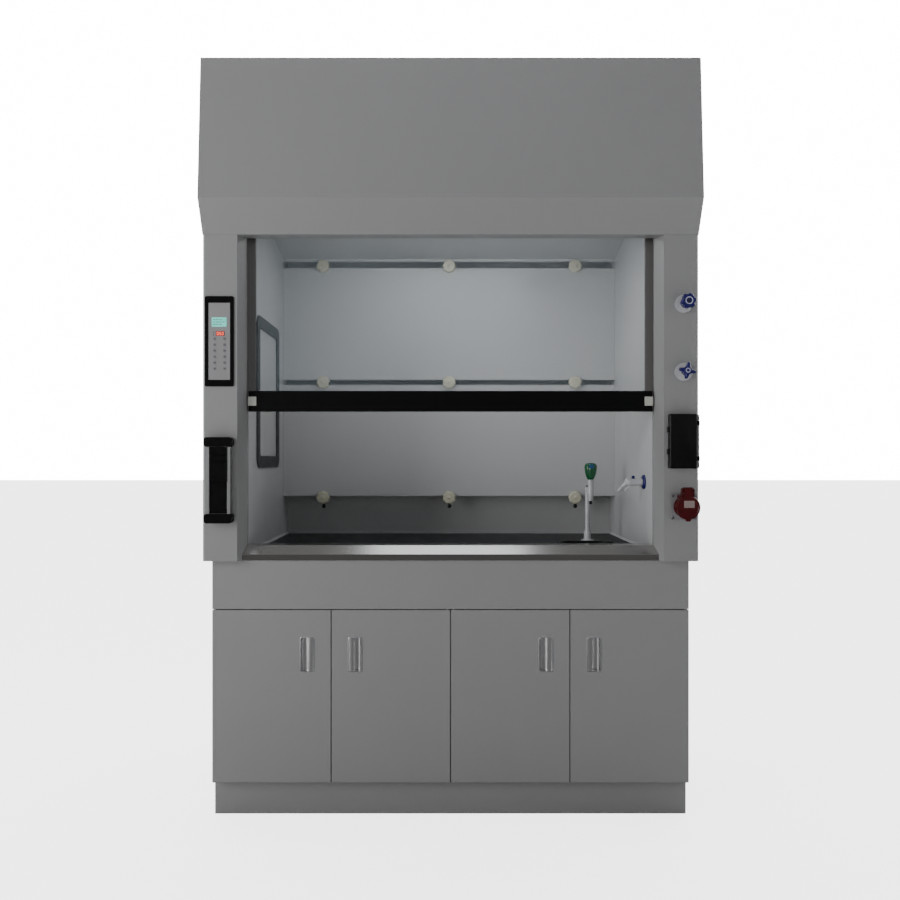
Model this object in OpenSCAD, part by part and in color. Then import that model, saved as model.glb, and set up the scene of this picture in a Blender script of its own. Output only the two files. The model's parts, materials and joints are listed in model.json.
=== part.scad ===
// Bench-standing chemical fume hood: a four-door base cabinet, a worktop with a
// stainless airfoil sill, and a fume chamber with a counterbalanced vertical sash.
// Millimetres. X runs left to right as the user stands, Z is up and the user is at -Y.
// The origin is on the floor, under the middle of the whole outline.
// Depths are given as d, measured back from the front face of the two posts.

/* [Overall] */
// Width over the outer side panels
hood_w = 1500; // [1440:10:1560]
// Depth from the front of the posts to the rear panel
hood_d = 800; // [780:5:860]
// Height of the roof above the floor
body_top = 2300; // [2290:5:2340]
// Height of the exhaust collar above the roof
collar_h = 50; // [30:5:80]
// How far the frontmost knob stands out from the posts
front_reach = 65; // [65:1:75]

/* [Base cabinet] */
// Width of the base cabinet
cabinet_w = 1456; // [1400:4:1470]
// Depth of the cabinet front behind the posts
cabinet_d = 30; // [28:1:40]
// Height of the toe space
toe_h = 107; // [90:1:115]
// Height of the gap between the doors and the apron
door_top = 635.5; // [600:0.5:636]
// Gap between neighbouring doors
door_gap = 3; // [3:0.5:5]

/* [Worktop] */
// Thickness of the worktop
counter_t = 20; // [16:1:20]
// Height of the top of the airfoil sill
sill_z = 832; // [830:1:832]

/* [Sash] */
// Bottom of the sash handle at rest
sash_z = 1243.5; // [1200:0.5:1260]
// Height of the sash handle bar
handle_h = 62.5; // [50:0.5:66]
// Half the length of the sash handle bar
handle_x = 620; // [616:1:620]
// Height of the sash above the underside of its handle
sash_h = 966.5; // [940:0.5:980]

/* [Chamber] */
// Depth of the front face of the baffles
baffle_d = 653; // [640:1:660]
// Height of the chamber ceiling
ceiling_z = 1905; // [1890:1:1910]
// Distance between the columns of baffle knobs
knob_pitch = 475; // [400:5:500]

/* [Hidden] */
sheet = 1.5;
panel = 6;
fit = 0.05;
clear = 0.3;
$fn = 48;

door_t = 20;
counter_z = 788;
wall_x = 626;

half_w = hood_w / 2;
face_y = front_reach - (hood_d + front_reach) / 2;
inner_x = half_w - sheet;
back_d = hood_d - sheet;
post_top = 1775;
post_d = 60;
post_lip_x = 644.5;
throat_d = 49;
post_slope = (post_lip_x - wall_x) / throat_d;
counter_top = counter_z + counter_t;

cab_x = cabinet_w / 2;
carcass_d = cabinet_d + door_t + 2.5;
door_bottom = toe_h + 3.2;
door_w = (cabinet_w - 3 * door_gap) / 4;
door_skin = 1.2;
pivot_in = 8;
pivot_back = 4.5;
pin_r = 2.5;
apron_bottom = 638.5;
pull_w = 44;
pull_h = 107;
pull_z = 500;
pull_in = 72;

guide_d = throat_d;
glide_d = [guide_d + 6, guide_d + 18];
belt_x = 660;
belt_w = 10;
belt_axis_d = 90;
belt_r = 30;
belt_t = 2;
top_axle_z = 2240;
low_axle_z = 860;
shaft_r = 10;
axle_r = 6;
weight_z = [992, 1528];
weight_x = [650, 700];
weight_d = [95, 145];

liner_top = ceiling_z + sheet;
plenum_d = 440;
liner_d = 743;
collar_d = 586;
collar_r = 125;
lamp_d = [192, 308];
hatch_d = [181, 548];
hatch_z = [1067, 1567];
slot_z = [1376, 1395, 1817, 1842];
baffle_bottom = 957;

tap_x = 488;
tap_d = 447;
spout_d = 380;
sink_x = 470;
sink_d = 360;
gas_d = 175;
gas_z = 1023;

panel_x = 698;
panel_z = 1452;
strip_x = 695;
strip_z = [905, 1162];
strip_cap = 28;
valve_x = 703;
water_z = 1565;
gas_valve_z = 1360;
flip_x = 693;
flip_z = 1150;
flip_w = 80;
flip_h = 163;
flip_rod_x = flip_x + 47;
flip_rod_d = -20;
red_x = 703;
red_z = 953;
red_hinge_z = red_z + 52;
red_hinge_d = -46;

// ---- Placing helpers -------------------------------------------------------

// A box between two X values, two depths and two heights
module block(x, d, z) {
    translate([x[0], face_y + d[0], z[0]])
        cube([x[1] - x[0], d[1] - d[0], z[1] - z[0]]);
}

// Children moved to a place given as X, depth and height
module at(x, d, z) {
    translate([x, face_y + d, z])
        children();
}

// Children and their mirror image across the middle of the hood
module both_sides() {
    children();
    mirror([1, 0, 0])
        children();
}

// A round bar along X, from x0 to x1, about the axis at depth d and height z
module bar_x(x0, x1, d, z, r) {
    at(x0, d, z)
        rotate([0, 90, 0])
            cylinder(h = x1 - x0, r = r);
}

// A round bar along the depth, from d0 to d1, at X and height z
module bar_d(x, d0, d1, z, r) {
    at(x, d0, z)
        rotate([-90, 0, 0])
            cylinder(h = d1 - d0, r = r);
}

// An outline drawn in (depth, height) and drawn out along X from x0 to x1
module profile_x(x0, x1) {
    at(x0, 0, 0)
        rotate([90, 0, 90])
            linear_extrude(x1 - x0)
                children();
}

// An outline drawn in (X, height) and drawn out along the depth from d0 to d1
module profile_d(d0, d1) {
    at(0, d1, 0)
        rotate([90, 0, 0])
            linear_extrude(d1 - d0)
                children();
}

// A rectangle with rounded corners about its centre
module round_rect(w, h, r) {
    square([w - 2 * r, h], center = true);
    square([w, h - 2 * r], center = true);
    for (x = [-1, 1], y = [-1, 1])
        translate([x * (w / 2 - r), y * (h / 2 - r)])
            circle(r);
}

// A slot with half-round ends, its long side along X
module stadium(centres, r) {
    square([centres, 2 * r], center = true);
    for (x = [-1, 1])
        translate([x * centres / 2, 0])
            circle(r);
}

// ---- Base cabinet ----------------------------------------------------------

module plinth() {
    board = 15;
    front_d = cabinet_d + 33;
    color("#777777") {
        block([-cab_x, cab_x], [front_d, front_d + board], [0, toe_h]);
        block([-cab_x, cab_x], [hood_d - 5 - board, hood_d - 5], [0, toe_h]);
        both_sides()
            block([cab_x - board, cab_x], [front_d + board + 0.2, hood_d - 5.2 - board],
                [0, toe_h]);
    }
}

module levelling_feet() {
    color("#303030")
        for (x = [-650, 0, 650], d = [130, 720])
            at(x, d, 0) {
                cylinder(h = 8, r = 24);
                cylinder(h = toe_h, r = 5);
                translate([0, 0, toe_h - 14])
                    cylinder(h = 14, r = 14);
            }
}

module cabinet_panels() {
    board = 18;
    color("#7c7c7c") {
        block([-cab_x, cab_x], [cabinet_d + 3, back_d - 3], [toe_h, toe_h + 2]);
        both_sides()
            block([cab_x - board, cab_x], [carcass_d, back_d - board - 3.2],
                [toe_h + 2.2, counter_z]);
        block([-board / 2, board / 2], [carcass_d, back_d - board - 3.2],
            [toe_h + 2.2, apron_bottom - 0.5]);
        block([-cab_x, cab_x], [back_d - board - 3, back_d - 3], [toe_h + 2.2, counter_z]);
    }
}

module apron() {
    back = 52;
    color("#7a7a7a")
        difference() {
            block([-cab_x, cab_x], [cabinet_d, back], [apron_bottom, counter_z]);
            block([-cab_x + sheet, cab_x - sheet], [cabinet_d + sheet, back + 1],
                [apron_bottom + sheet, counter_z - sheet]);
        }
}

// Left edge of door n, counted from 0
function door_x(n) = -cab_x + n * (door_w + door_gap);
// Doors 1 and 3 hang on their left edge, doors 2 and 4 on their right edge
function pivot_x(n) = n % 2 == 0 ? door_x(n) + pivot_in : door_x(n) + door_w - pivot_in;
function pull_x(n) = n % 2 == 0 ? door_x(n) + door_w - pull_in : door_x(n) + pull_in;
pivot_d = cabinet_d + pivot_back;

module door_pivots() {
    reach = 11.5;
    color("silver")
        for (n = [0:3]) {
            at(pivot_x(n), pivot_d, toe_h + 2) {
                cylinder(h = 1, r = 4);
                cylinder(h = 1.2 + reach, r = pin_r);
            }
            at(pivot_x(n), pivot_d, door_top - reach)
                cylinder(h = apron_bottom - door_top + reach, r = pin_r);
        }
}

// A folded steel door with blocks inside for its pins and a cut-out for its pull
module door(n) {
    block_w = 24;
    bore_deep = 14;
    x0 = door_x(n);
    block_x = n % 2 == 0 ? x0 : x0 + door_w - block_w;
    color("#7a7a7a")
        difference() {
            block([x0, x0 + door_w], [cabinet_d, cabinet_d + door_t], [door_bottom, door_top]);
            difference() {
                block([x0 + door_skin, x0 + door_w - door_skin],
                    [cabinet_d + door_skin, cabinet_d + door_t - door_skin],
                    [door_bottom + door_skin, door_top - door_skin]);
                for (z = [door_bottom, door_top - block_w])
                    block([block_x, block_x + block_w], [cabinet_d, cabinet_d + door_t],
                        [z, z + block_w]);
            }
            for (z = [door_bottom - 1, door_top - bore_deep])
                at(pivot_x(n), pivot_d, z)
                    cylinder(h = bore_deep + 1, r = pin_r + fit);
            block([pull_x(n) - pull_w / 2 + 3, pull_x(n) + pull_w / 2 - 3],
                [cabinet_d - 1, cabinet_d + 5],
                [pull_z - pull_h / 2 + 3, pull_z + pull_h / 2 - 3]);
        }
}

module door_1() { door(0); }
module door_2() { door(1); }
module door_3() { door(2); }
module door_4() { door(3); }

// A flush cup pull: a rim on the door face, a finger recess and a lip over it
module door_pull(n) {
    deep = 14;
    wall = 1.5;
    rim_t = 1.5;
    lip_w = 12;
    side = n % 2 == 0 ? 1 : -1;
    color("silver")
        difference() {
            union() {
                at(pull_x(n), cabinet_d, pull_z)
                    rotate([90, 0, 0])
                        linear_extrude(rim_t)
                            round_rect(pull_w, pull_h, 6);
                block([pull_x(n) - pull_w / 2 + 3.3, pull_x(n) + pull_w / 2 - 3.3],
                    [cabinet_d, cabinet_d + deep],
                    [pull_z - pull_h / 2 + 3.3, pull_z + pull_h / 2 - 3.3]);
            }
            at(pull_x(n) - side * lip_w / 2, cabinet_d - rim_t - 1, pull_z)
                translate([-(pull_w - lip_w) / 2 + 5, 0, -pull_h / 2 + 6])
                    cube([pull_w - lip_w - 10, deep, pull_h - 12]);
            block([pull_x(n) - pull_w / 2 + 5, pull_x(n) + pull_w / 2 - 5],
                [cabinet_d + 2, cabinet_d + deep - wall],
                [pull_z - pull_h / 2 + 6, pull_z + pull_h / 2 - 6]);
        }
}

module door_pull_1() { door_pull(0); }
module door_pull_2() { door_pull(1); }
module door_pull_3() { door_pull(2); }
module door_pull_4() { door_pull(3); }

// ---- Worktop, sill and sink ------------------------------------------------

sink_centres = 90;
sink_r = 52;

module worktop() {
    color("#1c1c1e")
        difference() {
            block([-inner_x, inner_x], [post_d + 2, back_d], [counter_z, counter_top]);
            at(sink_x, sink_d, counter_z - 1)
                linear_extrude(counter_t + 2)
                    stadium(sink_centres, sink_r + 1);
        }
}

// Stainless sill: a flange on the apron, a front edge, a bevel and a hooked tail
module airfoil_sill() {
    gap = 0.3;
    flange_d = 60;
    tail = 112;
    lip = post_lip_x - gap;
    color("silver")
        intersection() {
            profile_x(-lip, lip)
                polygon([[flange_d, counter_z], [24, counter_z], [24, 806], [49, sill_z],
                    [100, sill_z], [110, sill_z - 10], [108.94, sill_z - 11.06],
                    [99.38, sill_z - sheet], [49.62, sill_z - sheet],
                    [24 + sheet, 806 - 0.62], [24 + sheet, counter_z + sheet],
                    [flange_d, counter_z + sheet]]);
            at(0, 0, counter_z - 1)
                linear_extrude(sill_z - counter_z + 2)
                    polygon([[-lip, 0], [lip, 0], [wall_x - gap, throat_d],
                        [wall_x - gap, tail], [gap - wall_x, tail], [gap - wall_x, throat_d]]);
        }
}

module cup_sink() {
    wall = 4;
    floor_z = 660;
    tail_z = 600;
    tail_r = 22;
    color("#202022")
        at(sink_x, sink_d, 0)
            difference() {
                union() {
                    translate([0, 0, counter_top])
                        linear_extrude(2.5)
                            stadium(sink_centres, sink_r + 8);
                    translate([0, 0, floor_z])
                        linear_extrude(counter_top - floor_z)
                            stadium(sink_centres, sink_r);
                    translate([0, 0, tail_z])
                        cylinder(h = floor_z - tail_z, r = tail_r);
                }
                translate([0, 0, floor_z + wall])
                    linear_extrude(counter_top - floor_z)
                        stadium(sink_centres, sink_r - wall);
                translate([0, 0, tail_z - 1])
                    cylinder(h = floor_z - tail_z + wall + 2, r = tail_r - 3);
            }
}

// ---- Outer casing ----------------------------------------------------------

// Right-hand post: a folded casing, chamfered outside, with a slanted return inside
module post() {
    k = sheet * sqrt(1 + post_slope * post_slope);
    color("#848484") {
        at(0, 0, counter_z)
            linear_extrude(post_top - counter_z)
                polygon([[half_w, post_d], [half_w, 7], [half_w - 7, 0], [post_lip_x, 0],
                    [wall_x, throat_d], [wall_x + k, throat_d],
                    [post_lip_x - post_slope * sheet + k, sheet],
                    [half_w - 7 - 0.4 * sheet, sheet], [inner_x, 7 + 0.4 * sheet],
                    [inner_x, post_d]]);
        at(0, 0, counter_z)
            linear_extrude(sheet)
                polygon([[half_w, post_d], [half_w, 7], [half_w - 7, 0], [post_lip_x, 0],
                    [wall_x, throat_d], [wall_x + k, post_d]]);
    }
}

// Cut-out in the left post behind the control housing
module post_left() {
    color("#848484")
        difference() {
            mirror([1, 0, 0])
                post();
            block([-panel_x - 37, -panel_x + 37], [-1, 5], [panel_z - 127, panel_z + 127]);
        }
}

// Holes in the right post for the two valve stems and the red socket
module post_right() {
    color("#848484")
        difference() {
            post();
            for (z = [water_z, gas_valve_z])
                bar_d(valve_x, -1, 5, z, 9);
            bar_d(red_x, -1, 5, red_z, 28);
        }
}

// Two side panels and a rear panel between them
module outer_panels() {
    seam = 0.2;
    color("#808080") {
        both_sides()
            block([inner_x, half_w], [post_d, hood_d], [counter_z, body_top]);
        block([seam - inner_x, inner_x - seam], [back_d, hood_d], [counter_z, body_top]);
    }
}

module roof_panel() {
    color("#808080")
        difference() {
            block([-inner_x, inner_x], [post_d, back_d], [body_top - sheet, body_top]);
            at(0, collar_d, body_top - 5)
                cylinder(h = 10, r = collar_r - sheet);
        }
}

// Front hood over the sash: a face that leans out, a fold, and a band below it
module canopy() {
    fold_z = 1872;
    fold_d = -54;
    top_d = -21;
    lip_d = 46;
    color("#7b7b7b") {
        profile_x(-half_w, half_w)
            polygon([[lip_d, post_top], [0, post_top], [fold_d, fold_z], [top_d, body_top],
                [post_d, body_top], [post_d, body_top - sheet], [top_d + 1.4, body_top - sheet],
                [fold_d + 1.55, fold_z + 0.4], [0.75, post_top + sheet],
                [lip_d, post_top + sheet]]);
        both_sides()
            profile_x(inner_x, half_w)
                polygon([[post_d, post_top], [0, post_top], [fold_d, fold_z],
                    [top_d, body_top], [post_d, body_top]]);
    }
}

// ---- Chamber ---------------------------------------------------------------

module liner_left() {
    color("#8e9092")
        difference() {
            block([-wall_x - panel, -wall_x], [guide_d + 24, liner_d], [counter_top, liner_top]);
            block([-wall_x - panel - 1, -wall_x + 1], [hatch_d[0] + 18, hatch_d[1] - 18],
                [hatch_z[0] + 18, hatch_z[1] - 18]);
        }
}

module liner_right() {
    color("#8e9092")
        difference() {
            block([wall_x, wall_x + panel], [guide_d + 24, liner_d], [counter_top, liner_top]);
            bar_x(wall_x - 1, wall_x + panel + 1, gas_d, gas_z, 12.5);
        }
}

module liner_back() {
    color("#8e9092")
        block([-wall_x - panel, wall_x + panel], [liner_d, liner_d + panel],
            [counter_top, liner_top]);
}

module ceiling_panel() {
    color("#a0a2a4")
        difference() {
            block([-wall_x, wall_x], [guide_d + 24, plenum_d], [ceiling_z, liner_top]);
            block([-310, 310], [lamp_d[0] + 13, lamp_d[1] - 13], [ceiling_z - 1, liner_top + 1]);
        }
}

module baffle_lower() {
    color("#8b8d8f")
        block([-wall_x, wall_x], [baffle_d, baffle_d + panel], [baffle_bottom, slot_z[0]]);
}

module baffle_middle() {
    color("#8b8d8f")
        block([-wall_x, wall_x], [baffle_d, baffle_d + panel], [slot_z[1], slot_z[2]]);
}

// The top baffle rises from the upper slot, then leans forward to the ceiling
module baffle_top() {
    end_d = plenum_d - 7;
    lip = 10;
    color("#8b8d8f")
        profile_x(-wall_x, wall_x)
            polygon([[baffle_d, slot_z[3]], [baffle_d + panel, slot_z[3]],
                [baffle_d + panel, slot_z[3] + lip + panel], [end_d, ceiling_z],
                [end_d, ceiling_z - panel], [baffle_d, slot_z[3] + lip]]);
}

// Nine scalloped clamp knobs, each on a stud that reaches the rear liner
module baffle_knobs() {
    knob_r = 25;
    knob_t = 18;
    lobes = 8;
    color("#d8d4c4")
        for (x = [-1:1], z = [951, (slot_z[0] + slot_z[1]) / 2, 1823])
            difference() {
                union() {
                    bar_d(x * knob_pitch, baffle_d - knob_t, baffle_d - 2, z, knob_r);
                    bar_d(x * knob_pitch, baffle_d - 2, baffle_d, z, 13);
                    bar_d(x * knob_pitch, baffle_d - 1, liner_d, z, 4);
                }
                for (k = [0:lobes - 1])
                    at(x * knob_pitch, baffle_d - knob_t - 1, z)
                        rotate([0, 360 / lobes * k, 0])
                            translate([knob_r + 2, 0, 0])
                                rotate([-90, 0, 0])
                                    cylinder(h = knob_t - 2, r = 5.5);
            }
}

// Tapering duct from the chamber's rear plenum up to the roof
module exhaust_plenum() {
    foot = wall_x + panel;
    head = 180;
    top_z = body_top - sheet;
    rear_d = liner_d + panel;
    color("#9a9c9e")
        difference() {
            profile_d(plenum_d, rear_d)
                polygon([[-foot, liner_top], [foot, liner_top], [foot, liner_top + 60],
                    [head, top_z], [-head, top_z], [-foot, liner_top + 60]]);
            profile_d(plenum_d + sheet, rear_d - sheet)
                polygon([[sheet - foot, liner_top - 1], [foot - sheet, liner_top - 1],
                    [foot - sheet, liner_top + 59], [head - 2, top_z + 1],
                    [2 - head, top_z + 1], [sheet - foot, liner_top + 59]]);
        }
}

module exhaust_collar() {
    color("#9a9c9e")
        at(0, collar_d, body_top)
            difference() {
                union() {
                    cylinder(h = collar_h, r = collar_r, $fn = 96);
                    cylinder(h = 2, r = collar_r + 25, $fn = 96);
                }
                translate([0, 0, -1])
                    cylinder(h = collar_h + 2, r = collar_r - sheet, $fn = 96);
            }
}

// Steel housing on the ceiling with two fluorescent tubes in their holders
module lamp_housing() {
    top_z = liner_top + 80;
    color("#c8c8c8") {
        difference() {
            block([-340, 340], [lamp_d[0] - 12, lamp_d[1] + 12], [liner_top, top_z]);
            block([-326, 326], [lamp_d[0] - 1, lamp_d[1] + 1], [liner_top - 1, top_z - sheet]);
        }
        for (d = [225, 275]) {
            bar_x(-300, 300, d, liner_top + 45, 8);
            both_sides()
                block([300, 326], [d - 10, d + 10], [liner_top + 34, top_z - sheet]);
        }
    }
}

module lamp_window() {
    color("#dfe8ea")
        block([-325, 325], lamp_d, [liner_top, liner_top + 5]);
}

// Dark rubber frame around the service hatch in the left wall
module hatch_gasket() {
    proud = 5;
    mid_d = (hatch_d[0] + hatch_d[1]) / 2;
    mid_z = (hatch_z[0] + hatch_z[1]) / 2;
    span_d = hatch_d[1] - hatch_d[0];
    span_z = hatch_z[1] - hatch_z[0];
    border = 40;
    color("#3c3e42")
        at(-wall_x, mid_d, mid_z)
            rotate([90, 0, 90])
                linear_extrude(proud)
                    difference() {
                        round_rect(span_d, span_z, 35);
                        round_rect(span_d - 2 * border, span_z - 2 * border, 14);
                    }
}

module hatch_cover() {
    color("#8e9092")
        block([-wall_x - 5, -wall_x], [hatch_d[0] + 19, hatch_d[1] - 19],
            [hatch_z[0] + 19, hatch_z[1] - 19]);
}

// ---- Sash and its counterbalance -------------------------------------------

sash_top = sash_z + sash_h;
handle_top = sash_z + handle_h;
handle_d = [42, 72];
glass_d = [58.5, 63.5];
groove_d = [58, 64];

module sash_glass() {
    color("#b8c6cc", 0.4)
        block([-610, 610], glass_d, [handle_top - 12, sash_top - 12]);
}

// Two stiles and a top rail, with a belt clamp on each stile
module sash_frame() {
    stile_x = [601, 640];
    clamp_z = [1330, 1390];
    color("#8a8583")
        difference() {
            union() {
                both_sides() {
                    block(stile_x, glide_d, [handle_top, sash_top]);
                    block([handle_x + 1, stile_x[1]], glide_d, [sash_z, sash_top]);
                    difference() {
                        block([stile_x[1] - 1, belt_x + 8], glide_d, clamp_z);
                        block([belt_x - belt_w / 2 - 0.5, belt_x + belt_w / 2 + 0.5],
                            [post_d - belt_t / 2 - 0.5, post_d + belt_t / 2 + 0.5],
                            [clamp_z[0] - 1, clamp_z[1] + 1]);
                    }
                }
                block([-stile_x[0] - 1, stile_x[0] + 1], glide_d, [sash_top - 24, sash_top]);
            }
            block([-611, 611], groove_d, [handle_top - 1, sash_top - 11.5]);
        }
}

// Hollow black handle bar, open at the top for the glass and notched for its plugs
module sash_handle() {
    wall = 2.5;
    color("#161618")
        difference() {
            block([-handle_x, handle_x], handle_d, [sash_z, handle_top]);
            block([wall - handle_x, handle_x - wall], [handle_d[0] + wall, handle_d[1] - wall],
                [sash_z + wall, handle_top - 14]);
            block([-611, 611], groove_d, [handle_top - 12.5, handle_top + 1]);
            both_sides()
                block([596, handle_x + 1], [handle_d[0] - 1, handle_d[0] + 9],
                    [sash_z + 17, sash_z + 45]);
        }
}

module sash_end_plugs() {
    color("#b4b4ae")
        both_sides()
            block([596, handle_x + 2], [handle_d[0] - 1, handle_d[0] + 9],
                [sash_z + 17, sash_z + 45]);
}

module sash_guides() {
    top_z = 2285;
    color("#a4a6a8")
        both_sides()
            for (d = [guide_d, guide_d + 19])
                block([wall_x, wall_x + 19], [d, d + 5], [counter_top, top_z]);
}

// Closed toothed belts, each over a top pulley and under an idler
module sash_belts() {
    span = top_axle_z - low_axle_z;
    color("#262628")
        both_sides()
            at(belt_x - belt_w / 2, belt_axis_d, (top_axle_z + low_axle_z) / 2)
                rotate([90, 90, 90])
                    linear_extrude(belt_w)
                        difference() {
                            stadium(span, belt_r + belt_t / 2);
                            stadium(span, belt_r - belt_t / 2);
                        }
}

// Steel weights that straddle the rear run of each belt
module counterweights() {
    slot = 0.8;
    rear_d = belt_axis_d + belt_r;
    color("#5c5c60")
        both_sides()
            difference() {
                block(weight_x, weight_d, weight_z);
                block([weight_x[0] - 1, belt_x + belt_w / 2 + slot],
                    [rear_d - belt_t / 2 - slot, rear_d + belt_t / 2 + slot],
                    [weight_z[0] - 1, weight_z[1] + 1]);
            }
}

// A flanged belt pulley about the X axis, centred on the belt's middle
module pulley(z) {
    flange_r = 33;
    bar_x(belt_x - 8, belt_x + 8, belt_axis_d, z, belt_r - belt_t / 2 - clear);
    bar_x(belt_x - 8, belt_x - 6, belt_axis_d, z, flange_r);
    bar_x(belt_x + 6, belt_x + 8, belt_axis_d, z, flange_r);
}

module sync_shaft() {
    color("#c0c0c4") {
        bar_x(-681, 681, belt_axis_d, top_axle_z, shaft_r);
        both_sides()
            pulley(top_axle_z);
    }
}

module idler_pulleys() {
    color("#c0c0c4")
        both_sides()
            difference() {
                pulley(low_axle_z);
                bar_x(belt_x - 9, belt_x + 9, belt_axis_d, low_axle_z, axle_r + fit);
            }
}

// Bearing blocks for the top shaft and bracket pins for the idlers
module shaft_bearings() {
    half = 18;
    inner = 672;
    color("#6c6c70")
        both_sides() {
            difference() {
                block([inner, inner_x], [belt_axis_d - half, belt_axis_d + half],
                    [top_axle_z - half, top_axle_z + half]);
                bar_x(inner - 1, 682, belt_axis_d, top_axle_z, shaft_r + fit);
            }
            block([inner, inner_x], [belt_axis_d - half, belt_axis_d + half],
                [low_axle_z - half, low_axle_z + half]);
            bar_x(belt_x - 10, inner + 1, belt_axis_d, low_axle_z, axle_r);
        }
}

// ---- Left post: control panel and socket strip -----------------------------

module control_housing() {
    w = 87;
    h = 272;
    color("#1a1a1c")
        difference() {
            union() {
                at(-panel_x, 0, panel_z)
                    rotate([90, 0, 0])
                        linear_extrude(4)
                            round_rect(w, h, 5);
                block([-panel_x - 36, -panel_x + 36], [-1, 42], [panel_z - 126, panel_z + 126]);
            }
            block([-panel_x - 33, -panel_x + 33], [-5, -1], [panel_z - 116.5, panel_z + 116.5]);
            block([-panel_x - 33, -panel_x + 33], [1.5, 43], [panel_z - 123, panel_z + 123]);
        }
}

// Grey face plate with a display window, a numeric window and twelve keys
module control_panel() {
    face = -3;
    color("#9a9c9e") {
        block([-panel_x - 32.8, -panel_x + 32.8], [face, -1], [panel_z - 116.3, panel_z + 116.3]);
        block([-panel_x - 22, -panel_x + 22], [face - 0.6, face], [1496, 1524]);
        block([-panel_x - 10, -panel_x + 16], [face - 0.6, face], [1469, 1482]);
        for (x = [-14, 16], row = [0:5])
            block([-panel_x + x - 5, -panel_x + x + 5], [face - 0.5, face],
                [1365 + 18 * row, 1373 + 18 * row]);
    }
}

strip_in = 26.8;
strip_wall = 9.2;
strip_body = [strip_z[0] + strip_cap, strip_z[1] - strip_cap];
strip_mid = (strip_z[0] + strip_z[1]) / 2;

// Aluminium channel holding a black socket insert
module socket_strip() {
    color("#b6b8ba")
        difference() {
            block([-strip_x - strip_in - strip_wall, -strip_x + strip_in + strip_wall], [-28, 0],
                strip_body);
            block([-strip_x - strip_in, -strip_x + strip_in], [-29, -24],
                [strip_body[0] - 1, strip_body[1] + 1]);
            block([-strip_x - strip_in - 2, -strip_x + strip_in + 2], [-27.6, -25.4],
                [strip_body[0] - 1, strip_body[1] + 1]);
            for (z = [strip_mid + 30, strip_mid + 75])
                bar_d(-strip_x, -25, -12, z, 17);
        }
}

module socket_strip_caps() {
    deep = 35;
    color("#161618")
        for (z = [strip_z[0] + strip_cap / 2, strip_z[1] - strip_cap / 2])
            at(-strip_x, 0, z)
                rotate([90, 0, 0])
                    linear_extrude(deep)
                        round_rect(83, strip_cap, 8);
}

// Shutter over the two outlets; it slides down in the channel's grooves
module socket_strip_cover() {
    h = 104;
    top_z = strip_body[1] - 1;
    color("#1c1c1e") {
        block([-strip_x - 26.4, -strip_x + 26.4], [-31, -24.4], [top_z - h, top_z]);
        block([-strip_x - 28.4, -strip_x + 28.4], [-27.3, -25.7], [top_z - h, top_z]);
        for (z = [top_z - 22, top_z - 42])
            block([-strip_x - 20, -strip_x + 20], [-34, -31], [z - 3, z]);
    }
}

// ---- Right post: valves and sockets ----------------------------------------

module valve_flanges() {
    bore_r = 6 + fit;
    color("#c9c9c4")
        for (z = [water_z, gas_valve_z])
            difference() {
                union() {
                    bar_d(valve_x, -6, 0, z, 27);
                    bar_d(valve_x, -18, -5, z, 12);
                    bar_d(valve_x, 0, 42, z, 8.5);
                }
                bar_d(valve_x, -19, 10, z, bore_r);
            }
}

module water_valve_knob() {
    lobes = 6;
    front = -front_reach;
    color("#1d1f66") {
        bar_d(valve_x, front, 8, water_z, 6);
        bar_d(valve_x, -46, -18.5, water_z, 14);
        bar_d(valve_x, front, -44, water_z, 20);
        for (k = [0:lobes - 1])
            bar_d(valve_x + 19 * cos(360 / lobes * k), front + 1, -44,
                water_z + 19 * sin(360 / lobes * k), 7);
    }
}

module gas_valve_knob() {
    front = -52;
    arm = 19;
    color("#1d2a60") {
        bar_d(valve_x, front - 2, 8, gas_valve_z, 6);
        bar_d(valve_x, front, -18.5, gas_valve_z, 13);
        for (k = [0:3])
            at(valve_x, -34, gas_valve_z)
                rotate([90, 90 * k + 10, 0])
                    linear_extrude(16) {
                        translate([0, -6])
                            square([arm, 12]);
                        translate([arm, 0])
                            circle(6);
                    }
    }
}

flip_left = flip_x - flip_w / 2;
flip_right = flip_x + flip_w / 2;
flip_low = flip_z - flip_h / 2;
flip_high = flip_z + flip_h / 2;
flip_arm_z = [flip_low + 24, flip_high - 33];
flip_arm_h = 12;

// Grey back box, socket deck under the lid, and the hinge rod with its two lugs
module flip_socket_base() {
    color("#77787a")
        difference() {
            union() {
                block([flip_left + 1, flip_rod_x + 8], [-12, 0], [flip_low + 1, flip_high - 1]);
                block([flip_left + 6, flip_right - 6], [-22, -11], [flip_low + 6, flip_high - 6]);
                for (z = [flip_arm_z[0] - 6, flip_arm_z[1] + flip_arm_h + 1])
                    block([flip_rod_x - 4, flip_rod_x + 4], [flip_rod_d, -11], [z, z + 5]);
                at(flip_rod_x, flip_rod_d, flip_arm_z[0] - 6)
                    cylinder(h = flip_arm_z[1] - flip_arm_z[0] + flip_arm_h + 12, r = 4);
            }
            for (z = [flip_z - 36, flip_z + 36])
                bar_d(flip_x, -23, -10, z, 20);
        }
}

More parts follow.
